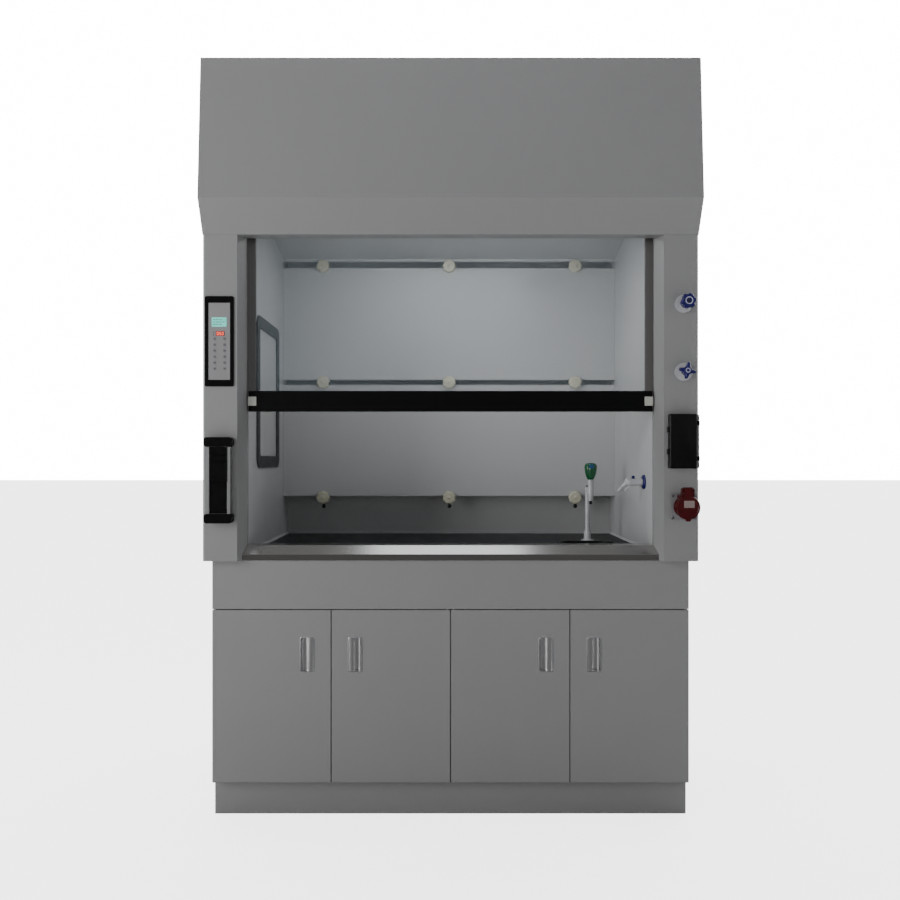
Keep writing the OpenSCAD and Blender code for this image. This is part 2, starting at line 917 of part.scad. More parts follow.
// Hollow black lid with two hinge arms and two snap latches
module flip_socket_lid() {
    wall = 2.5;
    color("#141416")
        difference() {
            union() {
                block([flip_left, flip_right], [-38, -12.4], [flip_low, flip_high]);
                for (z = flip_arm_z) {
                    at(flip_rod_x, flip_rod_d, z)
                        cylinder(h = flip_arm_h, r = 7);
                    block([flip_right - 1, flip_rod_x], [flip_rod_d - 7, flip_rod_d - 2],
                        [z, z + flip_arm_h]);
                }
                for (z = [flip_z - 40, flip_z + 26])
                    block([flip_left - 4, flip_left + 1], [-30, -13], [z, z + 18]);
            }
            block([flip_left + wall, flip_right - wall], [-38 + wall, -11],
                [flip_low + wall, flip_high - wall]);
            for (z = flip_arm_z)
                at(flip_rod_x, flip_rod_d, z - 1)
                    cylinder(h = flip_arm_h + 2, r = 4 + fit);
        }
}

red_lug_x = [14, 19];

// Screwed plate, socket barrel, and two lugs with the lid's hinge pin
module red_socket_body() {
    color("#7b1c20")
        difference() {
            union() {
                block([red_x - 40, red_x + 40], [-4, 0], [red_z - 40, red_z + 40]);
                bar_d(red_x, -40, 42, red_z, 27.5);
                bar_x(red_x - red_lug_x[1], red_x + red_lug_x[1], red_hinge_d, red_hinge_z, 3);
                for (s = [-1, 1])
                    at(red_x + s * (red_lug_x[0] + red_lug_x[1]) / 2, 0, 0)
                        translate([-2.5, red_hinge_d - 5, red_z + 20])
                            cube([5, 16, red_hinge_z - red_z - 15]);
                block([red_x - 20, red_x + 20], [-40, -4], [red_z + 16, red_z + 36]);
                for (x = [-33, 33], z = [-33, 33])
                    bar_d(red_x + x, -6, -3, red_z + z, 4);
            }
            bar_d(red_x, -41, -14, red_z, 22);
        }
}

// Spring-shut lid hung from the lugs, with a thumb tab below
module red_socket_lid() {
    color("#7b1c20")
        difference() {
            union() {
                bar_d(red_x, -56, -40.5, red_z, 36);
                block([red_x - 13.5, red_x + 13.5], [-56, -46], [red_z, red_hinge_z]);
                bar_x(red_x - 13.5, red_x + 13.5, red_hinge_d, red_hinge_z, 8);
                block([red_x - 8, red_x + 8], [-54, -46], [red_z - 41, red_z]);
            }
            bar_d(red_x, -50, -40, red_z, 28);
            bar_x(red_x - 15, red_x + 15, red_hinge_d, red_hinge_z, 3 + fit);
            for (s = [-1, 1])
                block([red_x + s * 16.5 - 3, red_x + s * 16.5 + 3], [-51.6, -40],
                    [red_z + 19, red_z + 40]);
        }
}

// ---- Tap and gas outlet ----------------------------------------------------

module tap_body() {
    color("#e6e6e2") {
        at(tap_x, tap_d, counter_top) {
            cylinder(h = 5, r = 22.5);
            cylinder(h = 36, r = 12.3);
            cylinder(h = 190, r = 8);
            translate([0, 0, 186])
                cylinder(h = 10, r = 5);
        }
        bar_d(tap_x, spout_d, tap_d, counter_top + 175, 7);
        at(tap_x, spout_d, counter_top) {
            translate([0, 0, 155])
                cylinder(h = 62, r = 10);
            translate([0, 0, 144])
                cylinder(h = 12, r = 8);
            translate([0, 0, 132])
                cylinder(h = 13, r = 4.5);
            translate([0, 0, 216])
                cylinder(h = 16, r = 4);
        }
    }
}

// Tapered handle that turns on the valve spindle
module tap_handle() {
    base = 218;
    color("#0f7a3c")
        at(tap_x, spout_d, counter_top + base)
            difference() {
                rotate_extrude()
                    polygon([[0, 0], [11, 0], [16, 10], [21, 32], [22, 44], [20, 52],
                        [14, 56], [0, 57]]);
                translate([0, 0, -1])
                    cylinder(h = 17, r = 4 + fit);
            }
}

// Wall flange, body and twin hose nozzles of the gas outlet
module gas_outlet() {
    shoulder = 20;
    nozzle_l = 42;
    color("#e2e2e6") {
        bar_x(wall_x - 8, wall_x, gas_d, gas_z, 23.5);
        bar_x(wall_x - 1, wall_x + 40, gas_d, gas_z, 12);
        bar_x(563, wall_x - 7, gas_d, gas_z, 11.5);
        at(590, gas_d, gas_z)
            cylinder(h = 20, r = 5);
        for (x = [570, 592])
            at(x, gas_d, gas_z)
                rotate([25, 0, 0])
                    rotate([0, -140, 0]) {
                        cylinder(h = shoulder, r = 5.4);
                        cylinder(h = nozzle_l, r = 4);
                    }
    }
}

plinth();
levelling_feet();
cabinet_panels();
apron();
door_pivots();
door_1();
door_2();
door_3();
door_4();
door_pull_1();
door_pull_2();
door_pull_3();
door_pull_4();
worktop();
airfoil_sill();
cup_sink();
post_left();
post_right();
outer_panels();
roof_panel();
canopy();
liner_left();
liner_right();
liner_back();
ceiling_panel();
baffle_lower();
baffle_middle();
baffle_top();
baffle_knobs();
exhaust_plenum();
exhaust_collar();
lamp_housing();
lamp_window();
hatch_gasket();
hatch_cover();
sash_glass();
sash_frame();
sash_handle();
sash_end_plugs();
sash_guides();
sash_belts();
counterweights();
sync_shaft();
shaft_bearings();
idler_pulleys();
control_housing();
control_panel();
socket_strip();
socket_strip_caps();
socket_strip_cover();
valve_flanges();
water_valve_knob();
gas_valve_knob();
flip_socket_base();
flip_socket_lid();
red_socket_body();
red_socket_lid();
tap_body();
tap_handle();
gas_outlet();
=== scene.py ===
"""Looks of the fume hood: materials, detailed pieces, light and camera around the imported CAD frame.

Lengths are metres in the row frame: +X to the user's right, +Y towards the rear, +Z up.
"""

import json
import math

import bmesh
import bpy
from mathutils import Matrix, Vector


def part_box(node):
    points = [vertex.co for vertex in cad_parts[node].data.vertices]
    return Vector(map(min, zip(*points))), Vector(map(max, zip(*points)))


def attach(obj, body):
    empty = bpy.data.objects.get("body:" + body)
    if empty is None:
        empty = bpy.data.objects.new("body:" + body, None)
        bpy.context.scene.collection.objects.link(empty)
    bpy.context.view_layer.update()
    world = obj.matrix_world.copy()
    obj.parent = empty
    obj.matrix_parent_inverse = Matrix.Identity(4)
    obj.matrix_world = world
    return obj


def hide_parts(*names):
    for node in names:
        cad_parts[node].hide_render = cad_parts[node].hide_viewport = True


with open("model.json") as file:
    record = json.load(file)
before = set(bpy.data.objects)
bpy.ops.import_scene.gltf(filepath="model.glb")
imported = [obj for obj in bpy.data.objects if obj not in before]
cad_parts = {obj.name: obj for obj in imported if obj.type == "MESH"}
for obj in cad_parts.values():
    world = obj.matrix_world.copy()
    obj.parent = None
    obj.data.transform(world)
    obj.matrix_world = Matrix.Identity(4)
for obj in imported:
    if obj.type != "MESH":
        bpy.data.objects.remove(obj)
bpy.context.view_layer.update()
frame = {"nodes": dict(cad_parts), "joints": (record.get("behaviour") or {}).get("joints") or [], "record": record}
MM = 0.001
NODES = frame["nodes"]
SLOT_OF = {s["node"]: s["material_slot"] for s in frame["record"]["subparts"]}
JOINT = {j["name"]: j for j in frame["joints"]}

# ---- Camera and stage -------------------------------------------------------

FACE_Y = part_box("post_left")[0].y  # the front face of the posts
EYE = (-0.023, FACE_Y - 2.6, 1.1)  # the photographer stood just left of the middle
LENS, SENSOR = 34.44, 36.0  # mm
SHIFT = (0.0078, 0.0089)
ROOM_FRONT = (0.24, 0.245, 0.25, 1)  # light from behind the photographer
ROOM_BACK = (2.6, 2.6, 2.6, 1)  # light from behind the hood
BACKDROP = 16.0  # the white that the camera sees
FLOOR_HALF = 40.0
FLOOR_PALE = (0.92, 0.92, 0.92, 1)
FLOOR_LIFT = 3.0  # added to what the camera sees of the floor
FLOOR_IN_MIRRORS = (0.10, 0.10, 0.10, 1)
LIGHTS = {  # place, aim, size, watts, colour
    "key_left": ((-3.9, -3.2, 1.9), (0, 0, 1.15), (1.8, 3.4), 142, (1, 1, 1)),
    "fill_right": ((2.8, -3.4, 1.8), (0, 0, 1.1), (2.0, 2.0), 6, (1, 1, 1)),
    "sill_panel": ((0.0, -0.70, 3.4), (0, -0.33, 0.82), (0.95, 0.5), 3.6, (0.90, 0.95, 1.0)),
    "lamp_glow": ((0, -0.1175, 1.898), (0, -0.1174, 0.8), (0.6, 0.08), 2.7, (0.95, 0.98, 1.0)),
}


def add_camera():
    """A level camera in front of the hood, at the height of a seated eye."""
    cam = bpy.data.cameras.new("camera")
    cam.sensor_width = SENSOR
    cam.lens = LENS
    cam.shift_x, cam.shift_y = SHIFT
    obj = bpy.data.objects.new("camera", cam)
    obj.location = EYE
    obj.rotation_euler = (math.radians(90), 0, 0)
    bpy.context.scene.collection.objects.link(obj)
    bpy.context.scene.camera = obj


def area_light(name, place, aim, size, power, color):
    """A soft rectangular light at place that points at aim."""
    light = bpy.data.lights.new(name, "AREA")
    light.shape = "RECTANGLE"
    light.size, light.size_y = size
    light.energy = power
    light.color = color
    obj = bpy.data.objects.new(name, light)
    obj.location = place
    obj.rotation_euler = (Vector(aim) - Vector(place)).to_track_quat("-Z", "Y").to_euler()
    bpy.context.scene.collection.objects.link(obj)


def add_world():
    """A plain white backdrop to the eye, and soft light that comes mostly from behind it."""
    world = bpy.data.worlds.new("room")
    bpy.context.scene.world = world
    world.use_nodes = True
    tree = world.node_tree
    tree.nodes.clear()
    out = tree.nodes.new("ShaderNodeOutputWorld")
    sky = tree.nodes.new("ShaderNodeBackground")
    coord = tree.nodes.new("ShaderNodeTexCoord")
    split = tree.nodes.new("ShaderNodeSeparateXYZ")
    ramp = tree.nodes.new("ShaderNodeMapRange")
    mix = tree.nodes.new("ShaderNodeMix")
    mix.data_type = "RGBA"
    mix.inputs[6].default_value = ROOM_FRONT
    mix.inputs[7].default_value = ROOM_BACK
    ramp.inputs["From Min"].default_value = -0.1
    ramp.inputs["From Max"].default_value = 0.6
    tree.links.new(coord.outputs["Generated"], split.inputs[0])
    tree.links.new(split.outputs["Y"], ramp.inputs["Value"])
    tree.links.new(ramp.outputs[0], mix.inputs[0])
    tree.links.new(mix.outputs[2], sky.inputs["Color"])
    backdrop = tree.nodes.new("ShaderNodeBackground")
    backdrop.inputs["Color"].default_value = (1, 1, 1, 1)
    backdrop.inputs["Strength"].default_value = BACKDROP
    path = tree.nodes.new("ShaderNodeLightPath")
    choose = tree.nodes.new("ShaderNodeMixShader")
    tree.links.new(path.outputs["Is Camera Ray"], choose.inputs[0])
    tree.links.new(sky.outputs[0], choose.inputs[1])
    tree.links.new(backdrop.outputs[0], choose.inputs[2])
    tree.links.new(choose.outputs[0], out.inputs[0])


def add_floor():
    """A plain pale floor."""
    mesh = bpy.data.meshes.new("floor")
    corners = [(a * FLOOR_HALF, b * FLOOR_HALF, 0) for a, b in ((-1, -1), (1, -1), (1, 1), (-1, 1))]
    mesh.from_pydata(corners, [], [(0, 1, 2, 3)])
    floor = bpy.data.objects.new("floor", mesh)
    bpy.context.scene.collection.objects.link(floor)
    mesh.materials.append(floor_material())


def floor_material():
    """A pale floor, lifted a little to the eye and subdued in mirror-like reflections."""
    mat = bpy.data.materials.new("floor_pale")
    mat.use_nodes = True
    tree = mat.node_tree
    pale = tree.nodes["Principled BSDF"]
    pale.inputs["Base Color"].default_value = FLOOR_PALE
    pale.inputs["Roughness"].default_value = 0.9
    lift = tree.nodes.new("ShaderNodeEmission")
    lift.inputs["Strength"].default_value = FLOOR_LIFT
    seen = tree.nodes.new("ShaderNodeAddShader")
    dim = tree.nodes.new("ShaderNodeBsdfDiffuse")
    dim.inputs["Color"].default_value = FLOOR_IN_MIRRORS
    path = tree.nodes.new("ShaderNodeLightPath")
    by_eye = tree.nodes.new("ShaderNodeMixShader")
    by_mirror = tree.nodes.new("ShaderNodeMixShader")
    tree.links.new(pale.outputs[0], seen.inputs[0])
    tree.links.new(lift.outputs[0], seen.inputs[1])
    tree.links.new(path.outputs["Is Camera Ray"], by_eye.inputs[0])
    tree.links.new(pale.outputs[0], by_eye.inputs[1])
    tree.links.new(seen.outputs[0], by_eye.inputs[2])
    tree.links.new(path.outputs["Is Glossy Ray"], by_mirror.inputs[0])
    tree.links.new(by_eye.outputs[0], by_mirror.inputs[1])
    tree.links.new(dim.outputs[0], by_mirror.inputs[2])
    tree.links.new(by_mirror.outputs[0], tree.nodes["Material Output"].inputs["Surface"])
    return mat


# ---- Materials --------------------------------------------------------------


class Paint:
    """Builds one node-based material around a Principled shader."""

    def __init__(self, name, color, rough=0.5, metal=0.0):
        self.mat = bpy.data.materials.new(name)
        self.mat.use_nodes = True
        self.tree = self.mat.node_tree
        self.shader = self.tree.nodes["Principled BSDF"]
        self.color = tuple(color)
        self.rough = rough
        self.shader.inputs["Metallic"].default_value = metal
        self.coord = self.tree.nodes.new("ShaderNodeTexCoord")
        self.color_socket = None

    def noise(self, scale, detail=3.0, stretch=(1, 1, 1), rough=0.55):
        """A noise field in object space; stretch multiplies the scale along X, Y and Z."""
        mapping = self.tree.nodes.new("ShaderNodeMapping")
        mapping.inputs["Scale"].default_value = stretch
        node = self.tree.nodes.new("ShaderNodeTexNoise")
        node.inputs["Scale"].default_value = scale
        node.inputs["Detail"].default_value = detail
        node.inputs["Roughness"].default_value = rough
        self.tree.links.new(self.coord.outputs["Object"], mapping.inputs["Vector"])
        self.tree.links.new(mapping.outputs[0], node.inputs["Vector"])
        return node.outputs["Fac"]

    def ranged(self, value, low, high, from_low=0.3, from_high=0.7):
        """value mapped from its usual noise range to low..high."""
        node = self.tree.nodes.new("ShaderNodeMapRange")
        node.inputs["From Min"].default_value = from_low
        node.inputs["From Max"].default_value = from_high
        node.inputs["To Min"].default_value = low
        node.inputs["To Max"].default_value = high
        self.tree.links.new(value, node.inputs["Value"])
        return node.outputs[0]

    def mixed(self, factor, first, second):
        """Two colours mixed by a factor."""
        node = self.tree.nodes.new("ShaderNodeMix")
        node.data_type = "RGBA"
        self.tree.links.new(factor, node.inputs[0])
        node.inputs[6].default_value = (*first, 1)
        node.inputs[7].default_value = (*second, 1)
        return node.outputs[2]

    def mottle(self, scale, amount, stretch=(1, 1, 1)):
        """Slow light and dark variation of the base colour."""
        dark = tuple(c * (1 - amount) for c in self.color)
        light = tuple(min(1.0, c * (1 + amount)) for c in self.color)
        factor = self.ranged(self.noise(scale, 4, stretch), 0, 1)
        self.color_socket = self.mixed(factor, dark, light)
        return self

    def roughness(self, spread, scale=30, stretch=(1, 1, 1)):
        """Roughness that varies by spread either way."""
        value = self.ranged(self.noise(scale, 4, stretch), self.rough - spread,
                            self.rough + spread)
        self.tree.links.new(value, self.shader.inputs["Roughness"])
        return self

    def bump(self, scale, depth, strength=0.5, stretch=(1, 1, 1), detail=2):
        """A fine surface relief of the given depth in metres."""
        node = self.tree.nodes.new("ShaderNodeBump")
        node.inputs["Strength"].default_value = strength
        node.inputs["Distance"].default_value = depth
        self.tree.links.new(self.noise(scale, detail, stretch), node.inputs["Height"])
        self.tree.links.new(node.outputs[0], self.shader.inputs["Normal"])
        return self

    def set(self, **values):
        """Constants on the shader's own sockets, named with _ for a space."""
        for key, value in values.items():
            self.shader.inputs[key.replace("_", " ")].default_value = value
        return self

    def done(self):
        """Links what is varied, sets what isn't, and returns the material."""
        if self.color_socket is None:
            self.shader.inputs["Base Color"].default_value = (*self.color, 1)
        else:
            self.tree.links.new(self.color_socket, self.shader.inputs["Base Color"])
        if not self.shader.inputs["Roughness"].is_linked:
            self.shader.inputs["Roughness"].default_value = self.rough
        return self.mat


def powder_coat(name, color, rough=0.46):
    """Powder-coated sheet steel: faint orange peel and a slow drift in tone."""
    return (Paint(name, color, rough).mottle(1.6, 0.014)
            .roughness(0.05, 9).bump(1400, 0.0001, 0.12).done())


def laminate(name, color, rough=0.38):
    """Compact laminate or coated liner board: smooth with faint smears."""
    return (Paint(name, color, rough).mottle(2.0, 0.025, (1, 1, 0.5)).roughness(0.07, 5)
            .bump(900, 0.00005, 0.05).done())


def moulded(name, color, rough=0.42, grain=2200, depth=0.00008, shine=0.5):
    """Moulded plastic with a fine grain and slightly uneven gloss."""
    return (Paint(name, color, rough).mottle(25, 0.06)
            .roughness(0.07, 60).bump(grain, depth, 0.3)
            .set(Specular_IOR_Level=shine).done())


def brushed(name, color, rough=0.3, along="X", strength=0.05):
    """Metal brushed along one axis, with fine scratches and drifting gloss."""
    fine = {"X": (0.02, 1, 1), "Z": (1, 1, 0.02)}[along]
    return (Paint(name, color, rough, 1.0).mottle(900, 0.05, fine)
            .roughness(0.02, 700, fine).bump(2400, 0.00001, strength, fine).done())


def glossy(name, color, rough=0.22, shine=0.5):
    """Smooth glossy plastic or epoxy coating with a clear skin."""
    return (Paint(name, color, rough).mottle(40, 0.05).roughness(0.05, 45)
            .bump(260, 0.00006, 0.12)
            .set(Specular_IOR_Level=shine, Coat_Weight=0.25, Coat_Roughness=0.12).done())


def rubber(name, color, rough=0.62):
    """Matt extruded rubber with a faint grain."""
    return (Paint(name, color, rough).mottle(35, 0.12).roughness(0.08, 50)
            .bump(1800, 0.0001, 0.35).done())


def phenolic(name, color):
    """Black phenolic worktop with a satin skin and wiping marks."""
    paint = Paint(name, color, 0.42)
    paint.mottle(5, 0.15, (1, 0.4, 1))
    paint.set(Specular_IOR_Level=0.3)
    return paint.roughness(0.05, 7, (1, 0.3, 1)).bump(1100, 0.00004, 0.04).done()


def sash_glass_material():
    """Toughened glass: mostly clear, with a thin uneven bluish film that is a painted reflection of bright
    surroundings.
    """
    paint = Paint("clear_glass", (0.50, 0.62, 0.70), 0.06)
    # the pale bluish base colour at low, uneven alpha is a painted reflection veil
    reflection_veil = paint.ranged(paint.noise(2.4, 5, (1, 1, 0.35)), 0.03, 0.06)
    paint.tree.links.new(reflection_veil, paint.shader.inputs["Alpha"])
    paint.set(Specular_IOR_Level=0.55, IOR=1.5)
    paint.roughness(0.03, 4, (1, 1, 0.3))
    return paint.done()


def screen(name, color, glow):
    """A lit display window with faint pixel rows."""
    paint = Paint(name, color, 0.25)
    paint.mottle(60, 0.18)
    paint.bump(4200, 0.00005, 0.15, (0.02, 1, 1))
    paint.set(Emission_Color=(*color, 1), Emission_Strength=glow)
    return paint.done()


GREY = (0.205, 0.205, 0.207)
MATERIALS = {
    "casing_grey": powder_coat("casing_grey", GREY),
    "cabinet_grey": powder_coat("cabinet_grey", (0.212, 0.211, 0.212), 0.44),
    "inner_metal": powder_coat("inner_metal", (0.30, 0.305, 0.31)),
    "liner": laminate("liner", (0.42, 0.425, 0.43)),
    "worktop_black": phenolic("worktop_black", (0.017, 0.017, 0.020)),
    "sink_black": moulded("sink_black", (0.012, 0.012, 0.013), shine=0.3),
    "stainless": brushed("stainless", (0.47, 0.455, 0.435), 0.17, "X"),
    "pull_metal": brushed("pull_metal", (0.86, 0.86, 0.87), 0.3, "Z", 0.02),
    "pivot_steel": brushed("pivot_steel", (0.50, 0.50, 0.52), 0.35, "Z"),
    "foot_rubber": rubber("foot_rubber", (0.03, 0.03, 0.03)),
    "knob_cream": glossy("knob_cream", (0.50, 0.49, 0.38), 0.32),
    "lamp_body": glossy("lamp_body", (0.62, 0.63, 0.64), 0.3),
    "clear_glass": sash_glass_material(),
    "gasket_rubber": rubber("gasket_rubber", (0.028, 0.032, 0.033), 0.5),
    "sash_aluminium": brushed("sash_aluminium", (0.26, 0.25, 0.245), 0.42, "Z"),
    "handle_black": moulded("handle_black", (0.0028, 0.0029, 0.0033), 0.4, 1600, 0.00005, 0.12),
    "plug_grey": moulded("plug_grey", (0.36, 0.36, 0.33)),
    "guide_plastic": moulded("guide_plastic", (0.30, 0.305, 0.31)),
    "belt_rubber": rubber("belt_rubber", (0.02, 0.02, 0.02)),
    "weight_iron": powder_coat("weight_iron", (0.08, 0.08, 0.085), 0.6),
    "shaft_steel": brushed("shaft_steel", (0.52, 0.52, 0.54), 0.25, "X"),
    "bearing_grey": powder_coat("bearing_grey", (0.12, 0.12, 0.125), 0.5),
    "bezel_black": moulded("bezel_black", (0.0025, 0.0025, 0.0028), 0.42, shine=0.08),
    "panel_grey": laminate("panel_grey", (0.215, 0.21, 0.215), 0.36),
    "strip_aluminium": brushed("strip_aluminium", (0.50, 0.505, 0.51), 0.34, "Z"),
    "strip_black": moulded("strip_black", (0.0026, 0.0026, 0.003), 0.36, shine=0.11),
    "flange_white": glossy("flange_white", (0.34, 0.34, 0.36), 0.35),
    "knob_blue": glossy("knob_blue", (0.008, 0.007, 0.085), 0.28, 0.3),
    "box_grey": moulded("box_grey", (0.17, 0.165, 0.17), 0.45),
    "lid_black": moulded("lid_black", (0.0045, 0.0045, 0.0049), 0.4, shine=0.16),
    "socket_red": glossy("socket_red", (0.052, 0.0012, 0.0028), 0.34, 0.18),
    "tap_white": glossy("tap_white", (0.42, 0.425, 0.44), 0.25),
    "tap_green": glossy("tap_green", (0.004, 0.085, 0.028), 0.25),
}
EXTRA = {
    "key_cap": moulded("key_cap", (0.155, 0.152, 0.168), 0.45),
    "pad": moulded("key_pad", (0.045, 0.045, 0.055), 0.5),
    "lcd": screen("lcd", (0.13, 0.54, 0.46), 0.5),
    "lcd_ink": moulded("lcd_ink", (0.02, 0.06, 0.06), 0.5),
    "led_window": moulded("led_window", (0.16, 0.01, 0.008), 0.3),
    "led": screen("led", (1.0, 0.16, 0.10), 2.2),
    "cap_blue": glossy("cap_blue", (0.010, 0.055, 0.16), 0.3),
    "nozzle_tip": rubber("nozzle_tip", (0.008, 0.008, 0.009)),
    "label": laminate("label", (0.20, 0.15, 0.14), 0.5),
    "screw": brushed("screw", (0.22, 0.22, 0.23), 0.4, "Z"),
    "bead": moulded("bead", (0.46, 0.47, 0.48), 0.35),
    # painted shade: dark grey for the end walls of the door pulls' finger recess
    "recess_painted_shade": moulded("recess_painted_shade", (0.05, 0.05, 0.052), 0.4),
    "ring_white": glossy("ring_white", (0.40, 0.40, 0.48), 0.3),
}

# ---- Mesh building ----------------------------------------------------------


class Shape:
    """Collects vertices and faces in row-frame metres, with a material for each face."""

    def __init__(self):
        self.verts, self.faces, self.mats = [], [], []

    def add(self, verts, faces, mat=0):
        base = len(self.verts)
        self.verts += [Vector(v) for v in verts]
        self.faces += [tuple(base + i for i in f) for f in faces]
        self.mats += [mat] * len(faces)

    def box(self, low, high, mat=0):
        """A box between two corners."""
        (a, b, c), (d, e, f) = low, high
        verts = [(a, b, c), (d, b, c), (d, e, c), (a, e, c),
                 (a, b, f), (d, b, f), (d, e, f), (a, e, f)]
        self.add(verts, [(0, 3, 2, 1), (4, 5, 6, 7), (0, 1, 5, 4), (1, 2, 6, 5),
                         (2, 3, 7, 6), (3, 0, 4, 7)], mat)

    def rings(self, rings, mat=0, close=True, caps=(True, True)):
        """Skins a list of equal rings of points; close joins each ring's last to its first."""
        n = len(rings[0])
        verts = [p for ring in rings for p in ring]
        faces = []
        for k in range(len(rings) - 1):
            for i in range(n if close else n - 1):
                j = (i + 1) % n
                faces.append((k * n + i, k * n + j, (k + 1) * n + j, (k + 1) * n + i))
        if caps[0]:
            faces.append(tuple(reversed(range(n))))
        if caps[1]:
            faces.append(tuple(range((len(rings) - 1) * n, len(rings) * n)))
        self.add(verts, faces, mat)

    def lathe(self, origin, axis, profile, mat=0, steps=48, lobes=0, depth=0.0, turn=0.0):
        """Turns (radius, height) points about an axis; lobes scallops the rim by depth."""
        axis = Vector(axis).normalized()
        side = axis.orthogonal().normalized()
        if abs(axis.z) < 0.5:
            side = axis.cross(Vector((0, 0, 1))).normalized()
        other = axis.cross(side)
        top = max(r for r, _ in profile)
        rings = []
        for radius, height in profile:
            ring = []
            for i in range(steps):
                a = 2 * math.pi * i / steps
                r = radius
                if lobes:
                    bite = (0.5 - 0.5 * math.cos(lobes * (a + turn))) ** 1.6
                    r -= depth * bite * (radius / top) ** 3
                ring.append(Vector(origin) + axis * height
                            + side * (r * math.cos(a)) + other * (r * math.sin(a)))
            rings.append(ring)
        self.rings(rings, mat)

    def prism(self, outline, origin, u, v, height, mat=0, top=1.0):
        """Draws out a closed (u, v) outline by the vector height; top scales its far end."""
        u, v, height = Vector(u), Vector(v), Vector(height)
        near = [Vector(origin) + u * a + v * b for a, b in outline]
        far = [Vector(origin) + height + u * (a * top) + v * (b * top) for a, b in outline]
        self.rings([near, far], mat)

    def tube(self, path, radius, mat=0, sides=20):
        """A round tube along a list of points; radius may be a number or a list."""
        points = [Vector(p) for p in path]
        radii = radius if isinstance(radius, list) else [radius] * len(points)
        side = None
        rings = []
        for i, p in enumerate(points):
            ahead = points[min(i + 1, len(points) - 1)] - points[max(i - 1, 0)]
            ahead.normalize()
            if side is None:
                side = ahead.orthogonal().normalized()
            side = (side - ahead * side.dot(ahead)).normalized()
            other = ahead.cross(side)
            rings.append([p + side * (radii[i] * math.cos(2 * math.pi * k / sides))
                          + other * (radii[i] * math.sin(2 * math.pi * k / sides))
                          for k in range(sides)])
        self.rings(rings, mat)

    def piece(self, name, body, materials, replaced=(), bevel=0.0, angle=35, segments=3):
        """Makes the Blender object, with its materials, bevel and body, and hides the CAD parts it replaces."""
        mesh = bpy.data.meshes.new(name)
        mesh.from_pydata(self.verts, [], self.faces)
        for mat in materials:
            mesh.materials.append(mat)
        mesh.polygons.foreach_set("material_index", self.mats)
        tidy = bmesh.new()
        tidy.from_mesh(mesh)
        bmesh.ops.recalc_face_normals(tidy, faces=tidy.faces)
        tidy.to_mesh(mesh)
        tidy.free()
        obj = bpy.data.objects.new(name, mesh)
        bpy.context.scene.collection.objects.link(obj)
        smooth_by_angle(mesh, angle)
        if bevel:
            add_bevel(obj, bevel, segments, angle)
        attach(obj, body)
        if replaced:
            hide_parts(*replaced)


def smooth_by_angle(mesh, angle):
    """Smooth faces, with every edge sharper than the angle kept sharp."""
    mesh.shade_smooth()
    mesh.set_sharp_from_angle(angle=math.radians(angle))


def add_bevel(obj, width, segments=2, angle=35):
    """Rounds the edges sharper than the angle."""
    mod = obj.modifiers.new("edge", "BEVEL")
    mod.width = width
    mod.segments = segments
    mod.limit_method = "ANGLE"
    mod.angle_limit = math.radians(angle)
    mod.harden_normals = True
    mod.miter_outer = "MITER_ARC"


def mm(*pairs):
    """Pairs given in millimetres, as pairs in metres."""
    return [(a * MM, b * MM) for a, b in pairs]


def rounded(w, h, r, steps=6):
    """Outline of a rectangle with rounded corners, counter-clockwise."""
    points = []
    for cx, cy, start in ((1, 1, 0), (-1, 1, 90), (-1, -1, 180), (1, -1, 270)):
        for k in range(steps + 1):
            a = math.radians(start + 90 * k / steps)
            points.append((cx * (w / 2 - r) + r * math.cos(a), cy * (h / 2 - r) + r * math.sin(a)))
    return points


def arc(radius, start, end, steps):
    """Points along an arc about the origin, angles in degrees."""
    angles = [math.radians(start + (end - start) * k / steps) for k in range(steps + 1)]
    return [(radius * math.cos(a), radius * math.sin(a)) for a in angles]


# ---- CAD nodes that stay ----------------------------------------------------

SHEET_NODES = ["plinth", "cabinet_panels", "apron", "door_1", "door_2", "door_3", "door_4",
               "worktop", "airfoil_sill", "post_left", "post_right", "outer_panels",
               "roof_panel", "canopy", "liner_left", "liner_right", "liner_back",
               "baffle_lower", "baffle_middle", "baffle_top", "sash_frame",
               "sash_handle", "sash_end_plugs", "sash_guides", "control_housing",
               "hatch_cover", "hatch_gasket", "socket_strip", "socket_strip_caps",
               "socket_strip_cover", "flip_socket_base", "lamp_housing", "sash_glass"]
PLAIN_EDGE = 0.5  # mm
EDGE = {"post_left": 0.3, "post_right": 0.3, "worktop": 2.0, "sash_handle": 2.2,
        "socket_strip_caps": 2.5, "hatch_gasket": 1.6, "airfoil_sill": 0.7,
        "control_housing": 1.2, "flip_socket_base": 1.0, "sash_end_plugs": 1.0,
        "sash_glass": 0.6, "socket_strip_cover": 0.8}


def dress_cad():
    """Gives every CAD node its slot's material, and the flat ones eased edges."""
    for name, obj in NODES.items():
        obj.data.materials.clear()
        obj.data.materials.append(MATERIALS[SLOT_OF[name]])
        if name in SHEET_NODES:
            weld = obj.modifiers.new("weld", "WELD")
            weld.merge_threshold = 0.00002
            mod = obj.modifiers.new("edge", "BEVEL")
            mod.width = EDGE.get(name, PLAIN_EDGE) * MM
            mod.segments = 2
            mod.limit_method = "ANGLE"
            mod.angle_limit = math.radians(40)


# ---- Baffle knobs -----------------------------------------------------------


